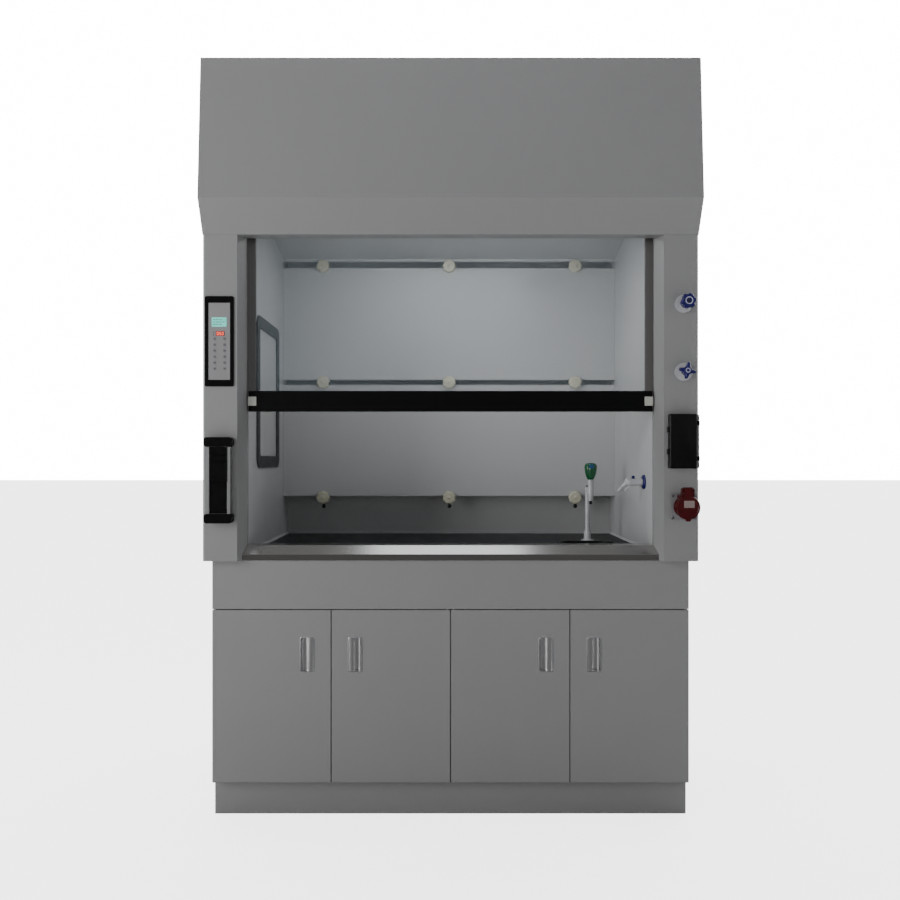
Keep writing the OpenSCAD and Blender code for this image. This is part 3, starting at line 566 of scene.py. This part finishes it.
def baffle_knobs():
    """Nine scalloped clamp knobs; under each bottom knob also a small black stud and a black strip."""
    low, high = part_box("baffle_knobs")
    knob_r = 25 * MM
    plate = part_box("baffle_lower")[0].y
    columns = [low.x + knob_r, 0.0, high.x - knob_r]
    gap_z = (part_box("baffle_lower")[1].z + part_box("baffle_middle")[0].z) / 2
    rows = [low.z + knob_r, gap_z, high.z - knob_r]
    back = high.y
    profile = mm((0, 0), (6, 0), (7.5, 1.4), (9, 1.4), (19, 0.9), (22.5, 2), (24.6, 4.2), (25, 7),
                 (25, 11.5), (24, 14.5), (21, 16), (13, 16.2), (13, 18), (0, 18))
    for r, z in enumerate(rows):
        for c, x in enumerate(columns):
            shape = Shape()
            shape.lathe((x, plate - 18 * MM, z), (0, 1, 0), profile, 0, 96, 8, 2.6 * MM,
                        0.2 * r + 0.3 * c)
            shape.lathe((x, plate, z), (0, 1, 0), [(4 * MM, -1 * MM), (4 * MM, back - plate)],
                        1, 20)
            if r == 0:
                shape.lathe((x + 2 * MM, plate + 6 * MM, z - 33 * MM), (0, -1, 0),
                            mm((0, 0), (7, 0), (7, 5), (4, 7), (4, 12), (0, 12.5)), 2, 24)
                shape.box((x - 4 * MM, plate + 3 * MM, z - 38 * MM),
                          (x + 6 * MM, plate + 6 * MM, z + 6 * MM), 2)
            number = 3 * r + c + 1
            shape.piece(f"baffle_knob_{number}", "root",
                        [MATERIALS["knob_cream"], MATERIALS["pivot_steel"],
                         EXTRA["nozzle_tip"]],
                        ("baffle_knobs",) if number == 1 else (), angle=50)


# ---- Door pulls -------------------------------------------------------------


def ring_at(mid, outline, y):
    """An (X, Z) outline about mid, as points at the depth y."""
    return [Vector((mid.x + a, y, mid.z + b)) for a, b in outline]


def door_pull(n):
    """A flush pull: a raised rim, a dished finger recess, and a rolled lip over one side."""
    node = f"door_pull_{n}"
    low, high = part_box(node)
    mid = (low + high) / 2
    side = 1 if n % 2 else -1
    w, h = high.x - low.x, high.z - low.z
    rim = 1.5 * MM
    face = low.y + rim
    wall = 3.2 * MM
    shape = Shape()
    outer = rounded(w, h, 6 * MM)
    crest = rounded(w - 1.6 * MM, h - 1.6 * MM, 5.2 * MM)
    inner = rounded(w - 2 * wall, h - 2 * wall, 3 * MM)
    shape.rings([ring_at(mid, outer, face), ring_at(mid, outer, face - 0.6 * rim),
                 ring_at(mid, crest, face - rim), ring_at(mid, inner, face - 0.8 * rim),
                 ring_at(mid, inner, face + 1 * MM)], 0, True, (False, False))
    start = mid.x - side * (w / 2 - wall)
    dish = mm((0, 0.5), (1, 5), (3, 9), (7, 11.6), (13, 12.4), (19, 11), (24, 8), (28, 3.4))
    lip = mm((27, 4), (23.6, 3.2), (22.4, 1.6), (23, 0), (26, -0.9), (30.5, -1), (35, -0.7),
             (37.8, 0.4), (37.8, 3))
    ends = (low.z + wall - 0.6 * MM, high.z - wall + 0.6 * MM)
    for section, close in ((dish, False), (lip, True)):
        rings = [[Vector((start + side * a, face + b, z)) for a, b in section] for z in ends]
        shape.rings(rings, 0, close, (close, close))
    # the end walls of the finger recess take a dark grey: painted shade in the recess
    for z in ends:
        cap = [Vector((start + side * a, face + b, z)) for a, b in dish]
        shape.add(cap, [tuple(range(len(cap)))], 1)
    shape.piece(node + "_metal", f"door_{n}",
                [MATERIALS["pull_metal"], EXTRA["recess_painted_shade"]], (node,), 0.25 * MM, 50, 2)


# ---- Valve knobs ------------------------------------------------------------


def valve_knob(node, body, lobes, depth, turn, star):
    """A moulded valve knob with a coloured ring and a dark centre, on its spindle."""
    low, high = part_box(node)
    mid = (low + high) / 2
    axis_joint = JOINT["water_valve_turn" if body == "water_knob" else "gas_valve_turn"]
    x, z = axis_joint["pos_m"][0], axis_joint["pos_m"][2]
    front = low.y
    r = (high.z - low.z) / 2 - (0.0 if star else 0.6 * MM)
    shape = Shape()
    if star:
        hub = mm((0, 2), (9, 2), (12, 4), (13, 8), (13, 20), (11.5, 26), (12.5, 33.5), (0, 34))
        shape.lathe((x, front, z), (0, 1, 0), hub, 0, 40)
        for k in range(4):
            a = math.radians(90 * k + 10)
            out = Vector((math.cos(a), 0, -math.sin(a)))
            across = Vector((math.sin(a), 0, math.cos(a)))
            rings = []
            for t, half, thick in ((6, 9.5, 9), (12, 7.0, 8.4), (18, 5.6, 7.6), (22, 5.0, 6.6),
                                   (24.4, 3.6, 4.8)):
                centre = Vector((x, front + 11 * MM, z)) + out * (t * MM)
                rings.append([centre + across * (half * MM * math.cos(q))
                              + Vector((0, thick * MM * math.sin(q), 0))
                              for q in [2 * math.pi * i / 20 for i in range(20)]])
            shape.rings(rings, 0)
        ring_r = 7.5 * MM
        ring_y = front + 1.6 * MM
    else:
        body_profile = [(0.0, 1.6 * MM), (11 * MM, 1.6 * MM), (13 * MM, 0.4 * MM),
                        (r - 3 * MM, 1.2 * MM), (r, 4.5 * MM), (r, 17 * MM), (r - 3 * MM, 20 * MM),
                        (15 * MM, 21 * MM), (14 * MM, 24 * MM), (15.5 * MM, 46 * MM),
                        (0.0, 46.4 * MM)]
        shape.lathe((x, front, z), (0, 1, 0), body_profile, 0, 96, lobes, depth, turn)
        ring_r = 11.5 * MM
        ring_y = front + 0.9 * MM
    shape.lathe((x, ring_y, z), (0, 1, 0), [(ring_r - 3 * MM, 0.9 * MM), (ring_r - 2.6 * MM, 0.0),
                                           (ring_r - 0.4 * MM, 0.0), (ring_r, 0.9 * MM),
                                           (ring_r, 3 * MM), (ring_r - 3 * MM, 3 * MM)], 1, 40)
    shape.lathe((x, ring_y + 0.6 * MM, z), (0, 1, 0),
                [(0.0, 0.6 * MM), (2 * MM, 0.0), (ring_r - 3.4 * MM, 0.2 * MM),
                 (ring_r - 3 * MM, 2 * MM), (0.0, 2 * MM)], 2, 32)
    shape.lathe((x, front + 20 * MM, z), (0, 1, 0), [(5.8 * MM, 0.0), (5.8 * MM, mid.y - front)],
                2, 24)
    shape.piece(node + "_moulded", body,
                [MATERIALS["knob_blue"], EXTRA["ring_white"], EXTRA["nozzle_tip"]],
                (node,), angle=50)


# ---- Tap --------------------------------------------------------------------


def tap():
    """A bench tap: flanged column, arm, vertical valve body, serrated black outlet."""
    low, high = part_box("tap_body")
    column_r = 8 * MM
    base_r = 22.5 * MM
    x = (low.x + high.x) / 2
    column_y = high.y - base_r
    spout_y = low.y + 10 * MM
    z = low.z
    shape = Shape()
    base = [(0.0, 0.0), (base_r, 0.0), (base_r, 2.6 * MM), (21 * MM, 4.4 * MM), (14 * MM, 5.6 * MM),
            (12.3 * MM, 8 * MM), (12.3 * MM, 33 * MM), (11 * MM, 35.6 * MM), (9 * MM, 36 * MM),
            (8.2 * MM, 38 * MM), (column_r, 60 * MM), (column_r, 186 * MM), (7.2 * MM, 189 * MM),
            (5 * MM, 190 * MM), (0.0, 190 * MM)]
    shape.lathe((x, column_y, z), (0, 0, 1), base, 0, 48)
    shape.lathe((x, column_y, z + 189 * MM), (0, 0, 1),
                mm((0, 0), (4.6, 0), (4.8, 5), (3.4, 6.6), (0, 7)), 2, 24)
    arm_z = z + 175 * MM
    shape.tube([(x, column_y, arm_z), (x, column_y - 16 * MM, arm_z),
                (x, spout_y + 16 * MM, arm_z), (x, spout_y, arm_z)],
               [7 * MM, 6.6 * MM, 6.6 * MM, 7 * MM], 0, 28)
    valve = mm((0, 144), (8, 144), (8.2, 152), (10, 156), (10.2, 166), (10, 190), (9.4, 196),
               (10, 199), (10, 215), (8, 217), (4, 217), (4, 231), (0, 232))
    shape.lathe((x, spout_y, z), (0, 0, 1), valve, 0, 40)
    tip = [(0.0, 132 * MM)]
    for k in range(4):
        tip += [(3.6 * MM, (132.2 + 3 * k) * MM), (4.9 * MM, (134.4 + 3 * k) * MM)]
    tip += mm((4.4, 144.4), (0, 144.6))
    shape.lathe((x, spout_y, z), (0, 0, 1), tip, 1, 28)
    shape.piece("tap_body_coated", "root",
                [MATERIALS["tap_white"], EXTRA["nozzle_tip"], MATERIALS["gasket_rubber"]],
                ("tap_body",), angle=40)
    turned_handle(x, spout_y)


def turned_handle(x, y):
    """The green ribbed handle with a blue index cap."""
    low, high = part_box("tap_handle")
    h = high.z - low.z
    shape = Shape()
    profile = [(0.0, 0.0), (10.6 * MM, 0.0), (11.4 * MM, 1.6 * MM), (13 * MM, 5 * MM),
               (16 * MM, 11 * MM), (19 * MM, 21 * MM), (21 * MM, 33 * MM), (21.8 * MM, 42 * MM),
               (20.6 * MM, 49 * MM), (17.6 * MM, 53.5 * MM), (14.2 * MM, h - 1.4 * MM),
               (13.2 * MM, h - 1.2 * MM)]
    shape.lathe((x, y, low.z), (0, 0, 1), profile, 0, 96, 8, 1.8 * MM)
    shape.lathe((x, y, high.z - 2.4 * MM), (0, 0, 1),
                mm((0, 2.2), (8, 2), (12, 1.2), (13.2, 0), (13.2, -2), (0, -2)), 1, 40)
    badge = Vector((x, y - 17.6 * MM, high.z - 12 * MM))
    shape.lathe(badge, (0, -0.9, 0.44), mm((0, -5), (8.6, -5), (8.6, 2.6), (7.6, 3.8),
                                           (0, 4)), 1, 32)
    shape.piece("tap_handle_moulded", "tap_knob",
                [MATERIALS["tap_green"], EXTRA["cap_blue"]], ("tap_handle",), angle=45)


# ---- Gas outlet -------------------------------------------------------------


def gas_outlet():
    """Blue wall flange, white body with a blue plug on top, and two barbed nozzles."""
    low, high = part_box("gas_outlet")
    r = 23.5 * MM
    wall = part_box("liner_right")[0].x
    centre = Vector((wall, low.y + r, high.z - r))
    mounts = {m["name"]: m for m in frame["record"]["mounts"]}
    shape = Shape()
    shape.lathe(centre, (-1, 0, 0), mm((0, 8), (12, 8), (19, 7.4), (22.6, 5), (23.5, 2.4),
                                       (23.5, 0), (0, 0)), 1, 48)
    shape.lathe(centre, (-1, 0, 0), mm((11.5, 7), (11.5, 46), (12.4, 48), (12.4, 52), (11.2, 56),
                                       (9, 61), (4, 63), (0, 63)), 0, 40)
    shape.lathe(centre, (1, 0, 0), mm((12, -1), (12, 40)), 0, 32)
    cap = centre + Vector((-36 * MM, 0, 10 * MM))
    shape.lathe(cap, (0, 0, 1), mm((0, 0), (6, 0), (6, 3), (4.6, 4), (5, 8.6), (3.4, 10),
                                   (0, 10.2)), 1, 28)
    for name in ("gas_nozzle_outer", "gas_nozzle_inner"):
        axis = Vector(mounts[name]["axis"])
        end = Vector(mounts[name]["pos_m"]) + axis * (11 * MM)
        start = end - axis * (42 * MM)
        profile = mm((0, 0), (6.2, 5), (5.8, 15), (4.2, 17))
        for k in range(5):
            profile += [(4.6 * MM, (18 + 4.6 * k) * MM), (3.6 * MM, (21.8 + 4.6 * k) * MM)]
        profile += mm((2.6, 42), (0, 42))
        shape.lathe(start, axis, profile, 0, 24)
    shape.piece("gas_outlet_coated", "root",
                [MATERIALS["tap_white"], MATERIALS["knob_blue"]], ("gas_outlet",), angle=40)


# ---- Control panel ----------------------------------------------------------

SEGMENTS = {"0": "abcdef", "5": "afgcd"}


def digit(shape, x, y, z, w, h, char, mat):
    """One seven-segment digit as thin raised bars; x, z is its lower left corner."""
    t = w * 0.2
    bars = {"a": (0, h - t, w, h), "d": (0, 0, w, t), "g": (0, (h - t) / 2, w, (h + t) / 2),
            "f": (0, h / 2, t, h), "b": (w - t, h / 2, w, h),
            "e": (0, 0, t, h / 2), "c": (w - t, 0, w, h / 2)}
    for name in SEGMENTS[char]:
        x0, z0, x1, z1 = bars[name]
        shape.box((x + x0, y - 0.15 * MM, z + z0), (x + x1, y, z + z1), mat)


def flat_prism(shape, w, h, r, place, mat, top=1.0):
    """A thin rounded rectangle that stands out from the face plate at place."""
    shape.prism(rounded(w * MM, h * MM, r * MM), place, (1, 0, 0), (0, 0, 1), (0, -0.35 * MM, 0),
                mat, top)


def control_panel():
    """Display window, numeric display and twelve soft keys over the CAD face plate."""
    low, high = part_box("control_panel")
    mid = (low + high) / 2
    face = low.y - 0.05 * MM
    control_lcd(mid, face)
    control_led(mid, face)
    keys = Shape()
    for x in (-14, 16):
        for row in range(6):
            key = Vector((mid.x + x * MM, face + 0.05 * MM, mid.z + (18 * row - 83) * MM))
            flat_prism(keys, 9, 9, 2, key, 0, 0.86)
            keys.box((key.x - 3 * MM, face - 0.42 * MM, key.z - 1.2 * MM),
                     (key.x + 3 * MM, face - 0.28 * MM, key.z + 1.2 * MM), 1)
    for z in (19.5, 27.5):
        flat_prism(keys, 3.4, 3.4, 1.6, (mid.x - 17 * MM, face, mid.z + z * MM), 1)
    keys.piece("control_keys", "root", [EXTRA["key_cap"], EXTRA["pad"]])


def control_lcd(mid, face):
    """The display window, with three rows of dark marks in place of text."""
    lcd = Shape()
    lcd.prism(rounded(45 * MM, 29 * MM, 1.5 * MM), (mid.x, face, mid.z + 58 * MM), (1, 0, 0),
              (0, 0, 1), (0, -0.4 * MM, 0), 0)
    for row in range(3):
        for col in range(3 + row % 2):
            x = mid.x + (9.5 * col - 18) * MM
            z = mid.z + (64.5 - 7.4 * row) * MM
            lcd.box((x, face - 0.5 * MM, z), (x + 6.5 * MM, face - 0.38 * MM, z + 1.6 * MM), 1)
    lcd.piece("control_lcd", "root", [EXTRA["lcd"], EXTRA["lcd_ink"]])


def control_led(mid, face):
    """The red numeric display, three digits and a point."""
    front = face - 0.3 * MM
    digits_z = mid.z + 19 * MM
    led = Shape()
    led.box((mid.x - 10 * MM, front, mid.z + 17 * MM),
            (mid.x + 16 * MM, face + 0.3 * MM, mid.z + 30 * MM))
    for k, char in enumerate("050"):
        digit(led, mid.x + (7.6 * k - 7) * MM, front, digits_z, 5 * MM, 9 * MM, char, 1)
    led.box((mid.x - 1.2 * MM, front - 0.15 * MM, digits_z),
            (mid.x - 0.2 * MM, front, digits_z + 1 * MM), 1)
    led.piece("control_led", "root", [EXTRA["led_window"], EXTRA["led"]])


# ---- Socket strip -----------------------------------------------------------


def socket_face(shape, x, y, z, r):
    """A round outlet face with two pin holes and an earth slot, facing the user."""
    shape.lathe((x, y, z), (0, -1, 0), [(0.0, 0.0), (r - 1.5 * MM, 0.0), (r, 1.2 * MM),
                                        (r, -1 * MM), (0.0, -1 * MM)], 0, 40)
    for dx, dz, w, h in ((-8, 2, 1.6, 6), (8, 2, 1.6, 6), (0, -8, 1.6, 7)):
        shape.box((x + (dx - w) * MM, y - 0.2 * MM, z + (dz - h / 2) * MM),
                  (x + (dx + w) * MM, y + 0.1 * MM, z + (dz + h / 2) * MM), 1)


def socket_strip():
    """Black liner and outlet faces in the aluminium channel."""
    low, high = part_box("socket_strip")
    mid_x = (low.x + high.x) / 2
    floor = low.y + 4 * MM
    shape = Shape()
    shape.box((mid_x - 26.4 * MM, floor - 0.3 * MM, low.z + 0.5 * MM),
              (mid_x + 26.4 * MM, floor, low.z + 112 * MM), 0)
    mid_z = (low.z + high.z) / 2
    for dz in (30, 75):
        socket_face(shape, mid_x, floor + 11 * MM, mid_z + dz * MM, 16.6 * MM)
    shape.piece("socket_strip_faces", "root",
                [MATERIALS["strip_black"], EXTRA["nozzle_tip"]], (), 0.3 * MM)


# ---- Flip-lid socket --------------------------------------------------------


def flip_socket():
    """Ribbed black lid with two hinge arms and two snap latches; faces under it."""
    low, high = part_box("flip_socket_lid")
    hinge = Vector(JOINT["flip_lid_hinge"]["pos_m"])
    left = low.x + 4 * MM
    right = left + 80 * MM
    front, back = low.y, high.y
    wall = 2.5 * MM
    mid = Vector(((left + right) / 2, 0, (low.z + high.z) / 2))
    shape = Shape()
    w, h = right - left, high.z - low.z
    outer = rounded(w, h, 3 * MM)
    inner = rounded(w - 2 * wall, h - 2 * wall, 2 * MM)
    crown = rounded(w - 5 * MM, h - 5 * MM, 2.5 * MM)
    shape.rings([ring_at(mid, inner, front + wall), ring_at(mid, inner, back),
                 ring_at(mid, outer, back), ring_at(mid, outer, front + 2 * MM),
                 ring_at(mid, crown, front)])
    for k in range(9):
        z = mid.z + (k - 4) * 8 * MM
        shape.box((mid.x - 3 * MM, front - 0.5 * MM, z - 2.4 * MM),
                  (mid.x + 12 * MM, front + 0.3 * MM, z + 2.4 * MM), 0)
    for dz in (-31 * MM, 35 * MM):
        z = mid.z + dz
        rings = []
        for out, half in ((-4, 5), (-3.4, 8), (0, 9.5), (3, 9.5), (6, 9)):
            rings.append([Vector((left + out * MM, y, z + s * half * MM))
                          for y, s in ((front + 7 * MM, -1), (back - 1 * MM, -1),
                                       (back - 1 * MM, 1), (front + 7 * MM, 1))])
        shape.rings(rings, 0)
    arm_h = 12 * MM
    for z in (low.z + 24 * MM, high.z - 33 * MM):
        shape.lathe((hinge.x, hinge.y, z), (0, 0, 1), mm((4.1, 0), (7, 0), (7, 12), (4.1, 12)),
                    0, 32)
        shape.box((right - 1 * MM, hinge.y - 7 * MM, z), (hinge.x, hinge.y - 4 * MM, z + arm_h), 0)
    shape.piece("flip_lid_moulded", "flip_lid", [MATERIALS["lid_black"]],
                ("flip_socket_lid",), 0.6 * MM)
    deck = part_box("flip_socket_base")[0].y + 2 * MM
    faces = Shape()
    for dz in (-36, 36):
        socket_face(faces, mid.x, deck + 9.6 * MM, mid.z + dz * MM, 19.6 * MM)
    faces.piece("flip_socket_faces", "root",
                [MATERIALS["strip_black"], EXTRA["nozzle_tip"]])


# ---- Red industrial socket --------------------------------------------------


def screw_head(shape, x, y, z, r, mat):
    """A pan-head screw facing the user."""
    shape.lathe((x, y, z), (0, -1, 0), [(r, 0.0), (r * 0.96, 0.9 * MM), (r * 0.6, 1.7 * MM),
                                       (0.0, 1.9 * MM)], mat, 24)


def red_socket():
    """Grey screwed plate, red barrel with collar, hinge lugs and pin."""
    low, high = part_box("red_socket_body")
    x = (low.x + high.x) / 2
    plate = FACE_Y
    z = low.z + 40 * MM
    hinge = Vector(JOINT["red_lid_hinge"]["pos_m"])
    shape = Shape()
    shape.prism(rounded(80 * MM, 80 * MM, 5 * MM), (x, plate, z), (1, 0, 0), (0, 0, 1),
                (0, -4 * MM, 0), 1)
    for dx in (-33, 33):
        for dz in (-33, 33):
            screw_head(shape, x + dx * MM, plate - 4 * MM, z + dz * MM, 4 * MM, 2)
    shape.lathe((x, plate, z), (0, -1, 0),
                mm((24, -42), (27.5, -42), (27.5, 3.8), (31, 4), (31, 8), (28.4, 12), (27.5, 18),
                   (27.5, 38.6), (26.8, 40), (22.6, 40), (22, 39), (22, 14), (0, 14)), 0, 56)
    for k in range(5):
        a = math.radians(90 + 72 * k)
        shape.lathe((x + 13 * MM * math.cos(a), plate - 14 * MM, z + 13 * MM * math.sin(a)),
                    (0, -1, 0), mm((0, -1), (3, -1), (3, 0.2), (0, 0.2)), 3, 20)
    for s in (-1, 1):
        lug = mm((-5, -31.5), (11, -31.5), (11, -12), (5, 3.4), (2, 5), (-2, 5), (-4.6, 3),
                 (-5, 0))
        shape.prism(lug, (hinge.x + (16.5 * s - 2.5) * MM, hinge.y, hinge.z), (0, 1, 0),
                    (0, 0, 1), (5 * MM, 0, 0), 0)
    shape.box((x - 20 * MM, plate - 39.8 * MM, z + 16 * MM),
              (x + 20 * MM, plate - 3.9 * MM, z + 36 * MM), 0)
    shape.lathe((hinge.x - 19 * MM, hinge.y, hinge.z), (1, 0, 0),
                mm((0, 0), (3, 0), (3, 38), (0, 38)), 2, 24)
    shape.piece("red_socket_moulded", "root",
                [MATERIALS["socket_red"], MATERIALS["box_grey"], EXTRA["screw"],
                 EXTRA["nozzle_tip"]], ("red_socket_body",), 0.5 * MM, 40)
    red_lid(x, z, hinge)


def red_lid(x, z, hinge):
    """Round spring lid with a raised crown, hinge barrel, blank label and thumb tab."""
    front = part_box("red_socket_lid")[0].y
    shape = Shape()
    shape.lathe((x, front, z), (0, 1, 0),
                mm((0, 0.9), (20, 0.9), (29, 1.4), (30.5, 0.2), (34, 0.6), (36, 3.4),
                   (36, 11.2)), 0, 72)
    shape.lathe((x, front, z), (0, 1, 0),
                mm((36, 11.2), (36, 4.2), (0, 4.2)), 0, 72)
    shape.lathe((x, front + 4.2 * MM, z), (0, 1, 0),
                mm((28, 0), (31, 0), (31, 11.2), (28, 11.2)), 0, 56)
    neck = mm((-13.4, 30), (-12, 44), (-8, 55), (-6, 60), (6, 60), (8, 55), (12, 44), (13.4, 30))
    shape.prism(neck, (x, front + 0.6 * MM, z), (1, 0, 0), (0, 0, 1), (0, 8.6 * MM, 0), 0)
    shape.lathe((hinge.x - 13.4 * MM, hinge.y, hinge.z), (1, 0, 0),
                mm((3.1, 0), (8, 0), (8, 26.8), (3.1, 26.8)), 0, 32)
    tab = mm((-8, -30), (-7, -39), (-4.6, -41), (4.6, -41), (7, -39), (8, -30))
    shape.prism(tab, (x, front + 2 * MM, z), (1, 0, 0), (0, 0, 1), (0, 7 * MM, 0), 0)
    shape.prism(rounded(31 * MM, 21 * MM, 1 * MM), (x + 2.5 * MM, front + 1.0 * MM, z + 10 * MM),
                (1, 0, 0), (0, 0, 1), (0, -0.35 * MM, 0), 1)
    shape.piece("red_lid_moulded", "red_lid",
                [MATERIALS["socket_red"], EXTRA["label"]], ("red_socket_lid",), 0.4 * MM, 40)


# ---- Small trim -------------------------------------------------------------


def worktop_bead():
    """Sealant bead where the worktop meets the side liners and the lower recess."""
    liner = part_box("liner_left")
    x = liner[1].x
    front, back = liner[0].y, liner[1].y
    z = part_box("worktop")[1].z
    r = 6 * MM
    shape = Shape()
    quarter = [(0.0, 0.0)] + arc(r, 90, 0, 6)
    for s in (-1, 1):
        rings = [[Vector((s * (abs(x) - a), y, z + b)) for a, b in quarter]
                 for y in (front, back)]
        shape.rings(rings, 0)
    rings = [[Vector((sx, back - a, z + b)) for a, b in quarter] for sx in (x, -x)]
    shape.rings(rings, 0)
    shape.piece("worktop_bead", "root", [EXTRA["bead"]], (), 0, 40)


def hatch_screws():
    """Screws at the middle of the gasket's top and bottom and along its sides."""
    low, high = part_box("hatch_gasket")
    mid_y, mid_z = (low.y + high.y) / 2, (low.z + high.z) / 2
    shape = Shape()
    inset = 20 * MM
    places = [(mid_y, low.z + inset), (mid_y, high.z - inset),
              (low.y + inset, mid_z), (high.y - inset, mid_z)]
    for y, z in places:
        shape.lathe((high.x, y, z), (1, 0, 0), mm((5, -0.5), (5, 0.8), (3.4, 1.8), (0, 2)), 0, 24)
    shape.piece("hatch_screws", "root", [EXTRA["screw"]])


def screw_row(shape, start, end, count, axis, r=4.5 * MM):
    """Evenly spaced pan-head screws from start to end, standing out along axis."""
    for k in range(count):
        place = Vector(start).lerp(Vector(end), k / (count - 1))
        shape.lathe(place, axis, [(r, -0.4 * MM), (r, 0.5 * MM), (r * 0.62, 1.5 * MM),
                                  (0.0, 1.7 * MM)], 0, 16)


def casing_screws():
    """Screws round the edges of the rear and side panels, and along the roof."""
    low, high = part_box("outer_panels")
    inset = 30 * MM
    x, y = high.x - inset, high.y - inset
    bottom, top = low.z + inset, high.z - inset
    first_x = 0.18 - x
    shape = Shape()
    for s in (-1, 1):
        screw_row(shape, (s * x, high.y, bottom), (s * x, high.y, top), 8, (0, 1, 0))
        for depth in (y, low.y + inset):
            screw_row(shape, (s * high.x, depth, bottom), (s * high.x, depth, top), 8, (s, 0, 0))
        screw_row(shape, (s * x, low.y + inset, high.z), (s * x, y, high.z), 5, (0, 0, 1))
    for z in (bottom, top):
        screw_row(shape, (first_x, high.y, z), (-first_x, high.y, z), 7, (0, 1, 0))
    shape.piece("casing_screws", "root", [EXTRA["screw"]])


def access_plate(shape, centre, out, across, w, h):
    """A removable cover plate with rounded corners and a screw in each corner."""
    up = Vector((0, 0, 1))
    centre, out, across = Vector(centre), Vector(out), Vector(across)
    shape.prism(rounded(w, h, 12 * MM), centre - out * (0.4 * MM), across, up, out * (1.9 * MM), 0)
    for a in (-1, 1):
        for b in (-1, 1):
            place = centre + across * (a * (w / 2 - 18 * MM)) + up * (b * (h / 2 - 18 * MM))
            shape.lathe(place + out * (1.2 * MM), out, mm((5, 0), (5, 0.9), (3, 1.9), (0, 2.1)),
                        1, 18)


def access_plates():
    """Cover plates over the services: on both sides, behind the chamber and the cabinet."""
    panels_low, panels_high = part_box("outer_panels")
    cabinet_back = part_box("cabinet_panels")[1].y
    side_y = panels_low.y + 0.17
    rear_x, rear_w = 0.36, 0.52
    shape = Shape()
    for s in (-1, 1):
        access_plate(shape, (s * panels_high.x, side_y, 1.3), (s, 0, 0), (0, 1, 0), 0.22, 0.62)
        for y, z, h in ((cabinet_back, 0.45, 0.42), (panels_high.y, 2.02, 0.36)):
            access_plate(shape, (s * rear_x, y, z), (0, 1, 0), (1, 0, 0), rear_w, h)
    shape.piece("access_plates", "root",
                [MATERIALS["casing_grey"], EXTRA["screw"]], (), 0.4 * MM, 40, 2)


# ---- Build ------------------------------------------------------------------

add_camera()
add_world()
add_floor()
for light_name, spec in LIGHTS.items():
    area_light(light_name, *spec)
dress_cad()
baffle_knobs()
for number in range(1, 5):
    door_pull(number)
valve_knob("water_valve_knob", "water_knob", 6, 4.2 * MM, 0.2, False)
valve_knob("gas_valve_knob", "gas_knob", 4, 0.0, 0.0, True)
tap()
gas_outlet()
control_panel()
socket_strip()
flip_socket()
red_socket()
worktop_bead()
hatch_screws()
casing_screws()
access_plates()
